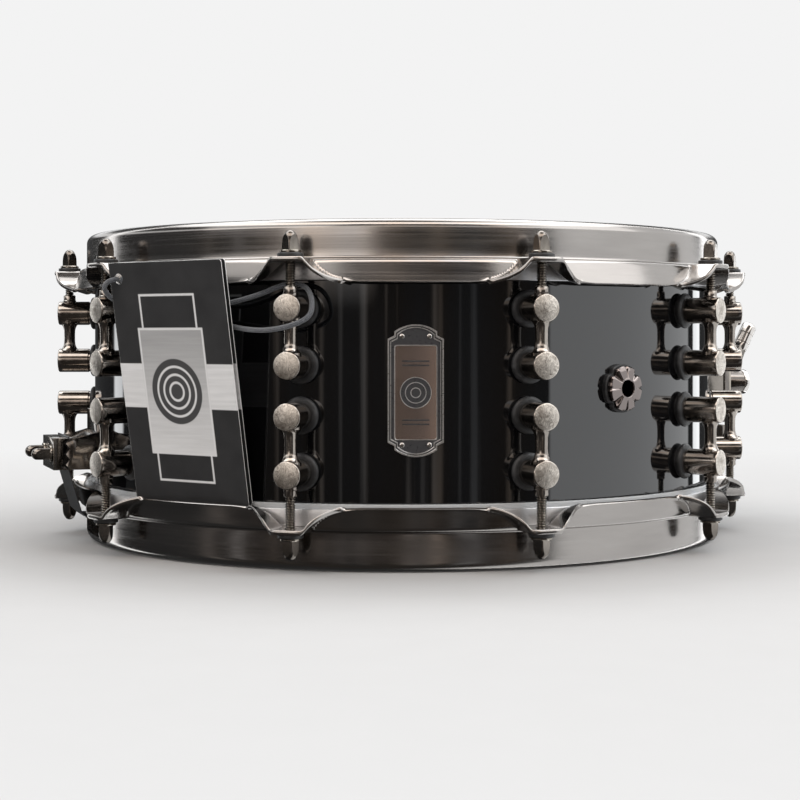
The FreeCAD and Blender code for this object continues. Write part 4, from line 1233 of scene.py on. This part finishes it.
def badge_screws():
    """Small domed cross-head screws at the badge's corners."""
    low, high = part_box("badge_screws")
    head, depth = 1.25 * MM, 0.55 * MM
    dome = [(0, -1.5 * MM), (0.85 * MM, -1.5 * MM), (0.85 * MM, 0), (head, 0), (head, depth * 0.25)]
    for i in range(1, 7):
        t = i / 6
        dome.append((head * math.cos(t * math.pi / 2), depth * (0.25 + 0.75 * math.sin(t * math.pi / 2))))
    dome[-1] = (0, depth)
    solid = Shape().add(along_x(lathe(dome, 28))).mesh("dome", ["bright"])
    width, reach = 0.16 * MM, 0.75 * MM
    cross = Shape()
    cross.add(box_part((depth * 0.45, -width, -reach), (depth * 2, width, reach)))
    second = Shape().add(box_part((depth * 0.45, -reach, -width), (depth * 2, reach, width)))
    head_mesh = combine(
        "cross", solid, ("DIFFERENCE", cross.mesh("a", ["bright"])), ("DIFFERENCE", second.mesh("b", ["bright"]))
    )
    x, z = 6.6 * MM, 26.2 * MM
    places = []
    for sx, sz in ((-1, -1), (-1, 1), (1, -1), (1, 1)):
        direction = math.degrees(math.asin(sx * x / SHELL_R))
        spin = Matrix.Rotation(0.5 * sx + 0.3 * sz, 4, "X")
        places.append(around(direction) @ Matrix.Translation((SHELL_R + 0.75 * MM, 0, MIDDLE + sz * z)) @ spin)
    mesh = repeated(head_mesh, "badge_cross_screws", places, ["bright"])
    piece("badge_cross_screws", mesh, ["badge_screws"])


# ---- vent -------------------------------------------------------------------------------------------------------
def petals(angle, reach, deep, fine):
    """The rim's radius: eight petals, parted in turn by deep notches and fine lines."""
    t = math.degrees(angle) % 90.0
    wide = min(abs(t - 45.0), 45.0)
    thin = min(t, 90.0 - t)
    return reach - deep * math.exp(-((wide / 7.5) ** 2)) - fine * math.exp(-((thin / 3.2) ** 2))


def petal_disc(reach, deep, fine, profile, columns=240):
    """Rows of (share of the rim's radius or a fixed radius, depth along X) swept round, cut by the petals."""
    rows = []
    for i in range(columns):
        angle = 2 * math.pi * i / columns
        rim = petals(angle, reach, deep, fine)
        groove = (reach - rim) / max(deep, 1e-9)
        row = []
        for share, x, cut in profile:
            radius = share if share < 0.05 and share > 0 and cut < 0 else share * rim
            row.append((x - max(cut, 0) * groove, radius * math.cos(angle), radius * math.sin(angle)))
        rows.append(row)
    return grid(rows, wrap_rows=True, wrap_columns=True)


def vent():
    face = SHELL_R + 6.2 * MM
    back = SHELL_R + 2.6 * MM
    hole = 4.2 * MM
    fixed = -1
    profile = [
        (hole, SHELL_R - 13.0 * MM, fixed), (hole, face - 0.6 * MM, fixed), (hole + 0.15 * MM, face - 0.2 * MM, fixed),
        (hole + 0.5 * MM, face, fixed), (hole + 1.0 * MM, face - 0.1 * MM, fixed),
        (0.55, face - 0.3 * MM, 0.3 * MM), (0.7, face - 0.45 * MM, 0.8 * MM), (0.86, face - 0.7 * MM, 1.2 * MM),
        (0.95, face - 1.0 * MM, 1.3 * MM), (1.0, face - 1.6 * MM, 1.0 * MM), (1.0, back + 0.5 * MM, 0), (0.97, back, 0),
        (6.0 * MM, back, fixed), (6.0 * MM, SHELL_R - 13.0 * MM, fixed),
    ]
    place = around(VENT_SIDE) @ Matrix.Translation((0, 0, MIDDLE))
    mesh = Shape().add(petal_disc(11.3 * MM, 2.0 * MM, 0.7 * MM, profile), place).mesh("vent_flower", ["vent"], 24)
    piece("vent_flower", mesh, ["vent_grommet"])
    ring = [
        (6.1 * MM, SHELL_R - 0.6 * MM, fixed), (6.1 * MM, back, fixed), (0.96, back, 0), (1.0, back - 0.5 * MM, 0),
        (1.0, SHELL_R + 0.2 * MM, 0), (0.98, SHELL_R - 0.6 * MM, 0),
    ]
    mesh = Shape().add(petal_disc(12.2 * MM, 1.5 * MM, 0.0, ring), place).mesh("vent_seal", ["rubber"], 40)
    piece("vent_seal", mesh, ["vent_gasket"])


# ---- castings taken from their CAD shapes, with rounded edges -------------------------------------------------------
def eased(node, name, body, material, width=0.45, segments=3):
    """A CAD node's own shape with its triangles joined into faces and its edges rounded, in millimetres."""
    mesh = frame["nodes"][node].data.copy()
    work = bmesh.new()
    work.from_mesh(mesh)
    bmesh.ops.remove_doubles(work, verts=work.verts, dist=2e-6)
    bmesh.ops.dissolve_limit(work, angle_limit=math.radians(0.6), verts=work.verts, edges=work.edges)
    clean = bpy.data.meshes.new(name)
    work.to_mesh(clean)
    work.free()
    bpy.data.meshes.remove(mesh)
    clean.materials.append(MAT[material])
    obj = bpy.data.objects.new(name, clean)
    bpy.context.scene.collection.objects.link(obj)
    if width:
        bevel(obj, width * MM, segments)
        finished = bake(obj, [], name, 32)
    else:
        finished = clean
        finish_shading(clean, 32)
        bpy.data.objects.remove(obj)
    return piece(name, finished, [node], body)


def brackets():
    eased("butt_base", "butt_casting", DRUM, "bracket", 0.8)
    eased("butt_clamp_jaw", "butt_jaw", DRUM, "bracket", 0.4)
    eased("throw_off_base", "throw_casting", DRUM, "bracket", 0.8)
    eased("throw_off_cover", "throw_cover_plate", DRUM, "bracket", 0.5)
    eased("throw_off_carriage", "throw_slider", "snare_carriage", "bracket", 0.3)
    eased("throw_off_clamp_jaw", "throw_jaw", "snare_carriage", "bracket", 0.4)
    arm = eased("throw_off_lever", "throw_arm", "throw_off_lever", "bracket", 0.5).data
    arm.materials.append(MAT["bright"])
    outwards = around(THROW_SIDE).to_3x3() @ Vector((1, 0, 0))
    for face in arm.polygons:
        flat_out = face.center.dot(outwards) > HUB_END - 0.1 * MM
        face.material_index = 1 if flat_out and face.center.z < HUB_Z + 9 * MM else 0
    eased("tension_knob", "tension_knob_cap", "tension_knob", "bracket", 0.25)
    eased("snare_end_plates", "wire_end_plates", "snare_unit", "brass", 0.2, 2)
    eased("butt_strap", "butt_ribbon", DRUM, "ribbon", 0.08, 1)
    eased("throw_off_strap", "throw_ribbon", "snare_carriage", "ribbon", 0.08, 1)


def grip():
    """The lever's round grip: a straight barrel with two fine grooves and a domed end."""
    radius, length, groove = 4.6, 19.0, 0.3
    profile = [(0, 0), (radius * 0.62, 0), (radius * 0.93, 0.6), (radius, 1.9)]
    for height in (5.4, 11.6):
        profile += [(radius, height - groove), (radius - groove, height), (radius, height + groove)]
    shoulder = length - 2.6
    for i in range(8):
        t = math.radians(90 * i / 7)
        profile.append((radius * math.cos(t), shoulder + 2.6 * math.sin(t)))
    profile[-1] = (0, length)
    part = lathe([(r * MM, z * MM) for r, z in profile], 64)
    place = around(THROW_SIDE) @ Matrix.Translation((227.8 * MM, 0, 104.6 * MM))
    place = place @ Matrix.Rotation(math.radians(26.6), 4, "Y")
    mesh = Shape().add(part, place).mesh("lever_grip", ["bright"], 30)
    piece("lever_grip", mesh, ["throw_off_grip"], "throw_off_lever")


def clamp_keys():
    """The key-headed screws that close the two strap clamps."""
    rod = 1.5 * MM
    head = key_head(9.6 * MM)
    shape = Shape()
    shape.add(lathe([(0, -14 * MM), (rod, -14 * MM), (rod, 0.2 * MM), (0, 0.2 * MM)], 24))
    rim = [(0, 0), (4.3 * MM, 0), (4.6 * MM, 0.3 * MM), (4.6 * MM, 1.0 * MM), (4.3 * MM, 1.3 * MM), (0, 1.3 * MM)]
    shape.add(lathe(rim, 44))
    made = bmesh.new()
    made.from_mesh(shape.mesh("shank", ["rod"]))
    head.transform(Matrix.Translation((0, 0, 1.3 * MM)))
    made.from_mesh(head)
    mesh = bpy.data.meshes.new("key_screw")
    made.to_mesh(mesh)
    made.free()
    lay = Matrix.Rotation(math.radians(90), 4, "Y")
    for side, node, body in ((SNARE_SIDE, "butt_clamp_screws", DRUM), (THROW_SIDE, "throw_off_clamp_screws", "snare_carriage")):
        places = [around(side) @ Matrix.Translation((CLAMP_SEAT, y, CLAMP_Z)) @ lay for y in (-CLAMP_APART, CLAMP_APART)]
        both = repeated(mesh, node + "_keys", places, ["rod"], 26)
        piece(node + "_keys", both, [node], body)


# ---- snare wires ----------------------------------------------------------------------------------------------
def coil(length, pitch, radius, wire, steps=9, sides=4):
    """One spiral wire along X, centred on the origin."""
    turns = length / pitch
    rows = []
    count = int(turns * steps)
    for i in range(count + 1):
        t = 2 * math.pi * i / steps
        x = -length / 2 + length * i / count
        out = Vector((0, math.cos(t), math.sin(t)))
        row = []
        for j in range(sides):
            a = 2 * math.pi * j / sides + math.pi / 4
            p = Vector((x, 0, 0)) + out * (radius + wire * math.cos(a)) + Vector((wire * math.sin(a), 0, 0))
            row.append(tuple(p))
        rows.append(row)
    verts, faces = grid(rows, wrap_columns=True)
    last = count * sides
    return verts, faces + [list(range(sides))[::-1], list(range(last, last + sides))]


def snares():
    low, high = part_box("snare_wires")
    level = (low.z + high.z) / 2
    radius = (high.z - low.z) / 2
    wire = 0.24 * MM
    one = Shape().add(coil(2 * 157.8 * MM, 2.4 * MM, radius - wire, wire)).mesh("coil", ["wire"])
    places = []
    for i in range(20):
        y = (i - 9.5) * 2.0 * MM
        places.append(around(THROW_SIDE) @ Matrix.Translation((0, y, level)) @ Matrix.Rotation(i * 0.9, 4, "X"))
    mesh = repeated(one, "snare_coils", places, ["wire"], 60)
    piece("snare_coils", mesh, ["snare_wires"], "snare_unit")


# ---- swing tag --------------------------------------------------------------------------------------------------
TAG_WIDE = 75.0 * MM
TAG_LONG = 121.0 * MM


def tag_matrix():
    lean = Matrix.Rotation(math.radians(9.8), 4, "Y")
    return around(TAG_SIDE) @ Matrix.Translation((182.5 * MM, 0, 30.6 * MM)) @ lean


def leaf(offset, thick=0.42 * MM):
    """One leaf of the folded card, as a thin plate whose depth follows offset(share of the width)."""
    soft = 1.6 * MM
    outline = rounded([(0, 0), (TAG_WIDE, 0), (TAG_WIDE, TAG_LONG), (0, TAG_LONG)], [0.3 * MM, soft, soft, 0.3 * MM], 5, True)
    eyelet = (6.0 * MM, TAG_LONG - 8.0 * MM, 2.7 * MM)
    work = bmesh.new()
    face = work.faces.new([work.verts.new((0, x, z)) for x, z in outline])
    made = bmesh.ops.extrude_face_region(work, geom=[face])
    for item in made["geom"]:
        if isinstance(item, bmesh.types.BMVert):
            item.co.x = -thick
    for i in range(1, 24):
        everything = work.verts[:] + work.edges[:] + work.faces[:]
        bmesh.ops.bisect_plane(work, geom=everything, plane_co=(0, TAG_WIDE * i / 24, 0), plane_no=(0, 1, 0), dist=1e-7)
    for i in range(1, 24):
        everything = work.verts[:] + work.edges[:] + work.faces[:]
        bmesh.ops.bisect_plane(work, geom=everything, plane_co=(0, 0, TAG_LONG * i / 24), plane_no=(0, 0, 1), dist=1e-7)
    work.verts.index_update()
    verts = [tuple(v.co) for v in work.verts]
    faces = [[v.index for v in f.verts] for f in work.faces]
    work.free()
    plate = Shape().add((verts, faces)).mesh("leaf", ["print", "card"])
    x, z, radius = eyelet
    punch = Shape().add(along_x(lathe([(0, -3 * MM), (radius, -3 * MM), (radius, 3 * MM), (0, 3 * MM)], 40)),
                        Matrix.Translation((0, x, z))).mesh("punch", ["print", "card"])
    mesh = combine("leaf", plate, ("DIFFERENCE", punch), sharp=50)
    layer = mesh.uv_layers.active
    for polygon in mesh.polygons:
        polygon.material_index = 0 if abs(polygon.normal.x) > 0.7 else 1
        for k in polygon.loop_indices:
            place = mesh.vertices[mesh.loops[k].vertex_index].co
            layer.data[k].uv = (place.y, place.z)
    for vertex in mesh.vertices:
        share = vertex.co.y / TAG_WIDE
        rise = vertex.co.z / TAG_LONG
        vertex.co.x += offset(share, rise)
        vertex.co.y -= TAG_WIDE / 2
    mesh.update()
    return mesh


def swing_tag():
    """A folded card: the front leaf nearly flat, the back leaf gaping away from the fold."""
    front = leaf(lambda u, v: -0.05 * MM - 0.25 * MM * math.sin(math.pi * u) * (0.4 + 0.6 * v))
    back = leaf(lambda u, v: -0.55 * MM - 2.2 * MM * (u ** 1.3))
    made = bmesh.new()
    made.from_mesh(front)
    made.from_mesh(back)
    spine = [(-0.02 * MM, 0), (-0.45 * MM, -0.3 * MM), (-0.95 * MM, 0.0), (-0.5 * MM, 0.25 * MM)]
    fold = Shape().add(prism([(x, y - TAG_WIDE / 2 + 0.35 * MM) for x, y in spine], TAG_LONG - 0.8 * MM, "Z"),
                       Matrix.Translation((0, 0, TAG_LONG / 2)))
    fold.slots = [1] * len(fold.faces)
    made.from_mesh(fold.mesh("fold", ["print", "card"]))
    mesh = bpy.data.meshes.new("folded_card")
    made.to_mesh(mesh)
    made.free()
    for item in ("print", "card"):
        mesh.materials.append(MAT[item])
    mesh.transform(tag_matrix())
    finish_shading(mesh, 50)
    return piece("folded_card", mesh, ["swing_tag"])


# ---- nodes that keep their CAD shapes ---------------------------------------------------------------------------
CARRIED = {
    "lug_screws": "steel",
    "vent_nut": "steel",
    "bracket_screws": "steel",
    "throw_off_cover_screws": "steel",
    "throw_off_cam": "steel",
}


def carried():
    for node, material in CARRIED.items():
        obj = frame["nodes"][node]
        obj.data.materials.clear()
        obj.data.materials.append(MAT[material])
        obj.data.set_sharp_from_angle(angle=math.radians(32))


# ---- stage, light and surroundings --------------------------------------------------------------------------------
PALE = 0.896

# What the gloss sees, as (direction, half width, softness, lowest and highest sine of elevation, strength).
PANELS = [
    (88.5, 37.5, 0.6, -1.0, 1.1, 1.2),       # the large panel to the right
    (135, 4, 0.5, -1.0, 1.1, 3.4),           # a thin strip behind it
    (-27, 15, 3.0, 0.045, 0.35, 1.6),        # a low panel seen only by the hoops
    (-128, 4, 1.0, -0.6, 0.8, 3.0),
    (0, 180, 0.1, 0.2, 0.36, 1.3),           # a ring that only curved metal sees, for its bright lines
    (0, 180, 0.1, 0.68, 0.92, 3.5),          # the ceiling lights
]


def floor():
    """A pale floor that fades with distance into the pale background, so that no horizon shows."""
    mesh = Shape().add(grid([[(x * 6.0, y * 6.0, 0.0) for y in (-1, 1)] for x in (-1, 1)]))
    p = Paint("stage_paper")
    spot = p.place()
    grain = p.noise(spot, 40.0, 3.0)
    p.set(Base_Color=p.mix(grain, rgb(0.36, 0.36, 0.36), rgb(0.38, 0.38, 0.38)), Roughness=0.9)
    reach = p.node("ShaderNodeVectorMath", outlet="Value", settings={"operation": "LENGTH"}, i0=spot)
    far = p.node("ShaderNodeEmission", Color=rgb(PALE, PALE, PALE))
    near = p.bsdf.outputs[0]
    out = p.tree.nodes["Material Output"]
    p.feed(out.inputs[0], p.node("ShaderNodeMixShader", i0=p.remap(reach, 0.25, 0.8, 0.0, 1.0), i1=near, i2=far))
    MAT["stage"] = p.material
    obj = bpy.data.objects.new("stage_floor", mesh.mesh("stage_floor", ["stage"]))
    obj.location = (0, 0, -0.5 * MM)
    obj.visible_glossy = False
    bpy.context.scene.collection.objects.link(obj)


def studio():
    """A studio as a world: pale for the eye, and panels, flags and clutter for reflections."""
    world = bpy.data.worlds.new("studio")
    bpy.context.scene.world = world
    world.use_nodes = True
    p = Nodes(world.node_tree)
    p.tree.nodes.clear()
    spot = p.place("Generated")
    x, y, z = p.split(spot)
    azimuth = p.math("ARCTAN2", x, p.math("MULTIPLY", y, -1.0))

    def between(value, low, high, soft):
        above = p.remap(value, low - soft, low + soft, 0.0, 1.0)
        return p.math("MULTIPLY", above, p.remap(value, high - soft, high + soft, 1.0, 0.0))

    level = p.remap(z, -0.1, 1.0, 0.05, 0.12)
    for centre, half, soft, low, high, light in PANELS:
        side = between(azimuth, math.radians(centre - half), math.radians(centre + half), math.radians(soft))
        lit = p.math("MULTIPLY", side, between(z, low, high, 0.03))
        level = p.math("MAXIMUM", level, p.math("MULTIPLY", lit, light))
    streaks = p.remap(p.noise(p.join(p.math("MULTIPLY", azimuth, 9.0), z, 0.0), 1.0, 3.0), 0.52, 0.72, 0.0, 0.55)
    room = between(azimuth, math.radians(-75), math.radians(44), math.radians(4))
    level = p.math("ADD", level, p.math("MULTIPLY", p.math("MULTIPLY", streaks, room), between(z, -0.5, 0.5, 0.2)))
    warmth = p.noise(p.join(p.math("MULTIPLY", azimuth, 4.0), 3.0, 0.0), 1.0, 2.0)
    tint = p.mix(p.remap(warmth, 0.35, 0.65, 0.0, 1.0), rgb(1.0, 0.80, 0.64), rgb(0.95, 0.97, 1.0))
    tint = p.mix(room, rgb(0.97, 0.985, 1.0), tint)
    seen = p.node("ShaderNodeBackground", Color=rgb(PALE, PALE, PALE), Strength=1.0)
    glow = p.node("ShaderNodeBackground", Color=tint, Strength=level)
    eye = p.node("ShaderNodeLightPath", outlet="Is Camera Ray")
    out = p.tree.nodes.new("ShaderNodeOutputWorld")
    p.feed(out.inputs[0], p.node("ShaderNodeMixShader", i0=eye, i1=glow, i2=seen))


def lamp(name, direction, height, distance, size, power):
    light = bpy.data.lights.new(name, "AREA")
    light.shape = "RECTANGLE"
    light.size, light.size_y = size
    light.energy = power
    obj = bpy.data.objects.new(name, light)
    t = math.radians(direction)
    obj.location = (distance * math.sin(t), -distance * math.cos(t), height)
    aim = Vector((0, 0, MIDDLE)) - obj.location
    obj.rotation_euler = aim.to_track_quat("-Z", "Y").to_euler()
    bpy.context.scene.collection.objects.link(obj)


def lights():
    lamp("key_softbox", 60, 1.3, 1.7, (2.0, 1.7), 14)
    lamp("fill_softbox", -50, 1.1, 1.8, (1.7, 1.4), 7)
    lamp("top_softbox", 180, 1.9, 0.5, (1.4, 1.0), 12)


cord = tag_cord()
shell()
hoops()
heads()
lugs()
gaskets()
rods()
washers()
badge()
badge_screws()
vent()
brackets()
grip()
clamp_keys()
snares()
swing_tag()
carried()
floor()
studio()
lights()
bpy.context.scene.view_settings.view_transform = "Standard"
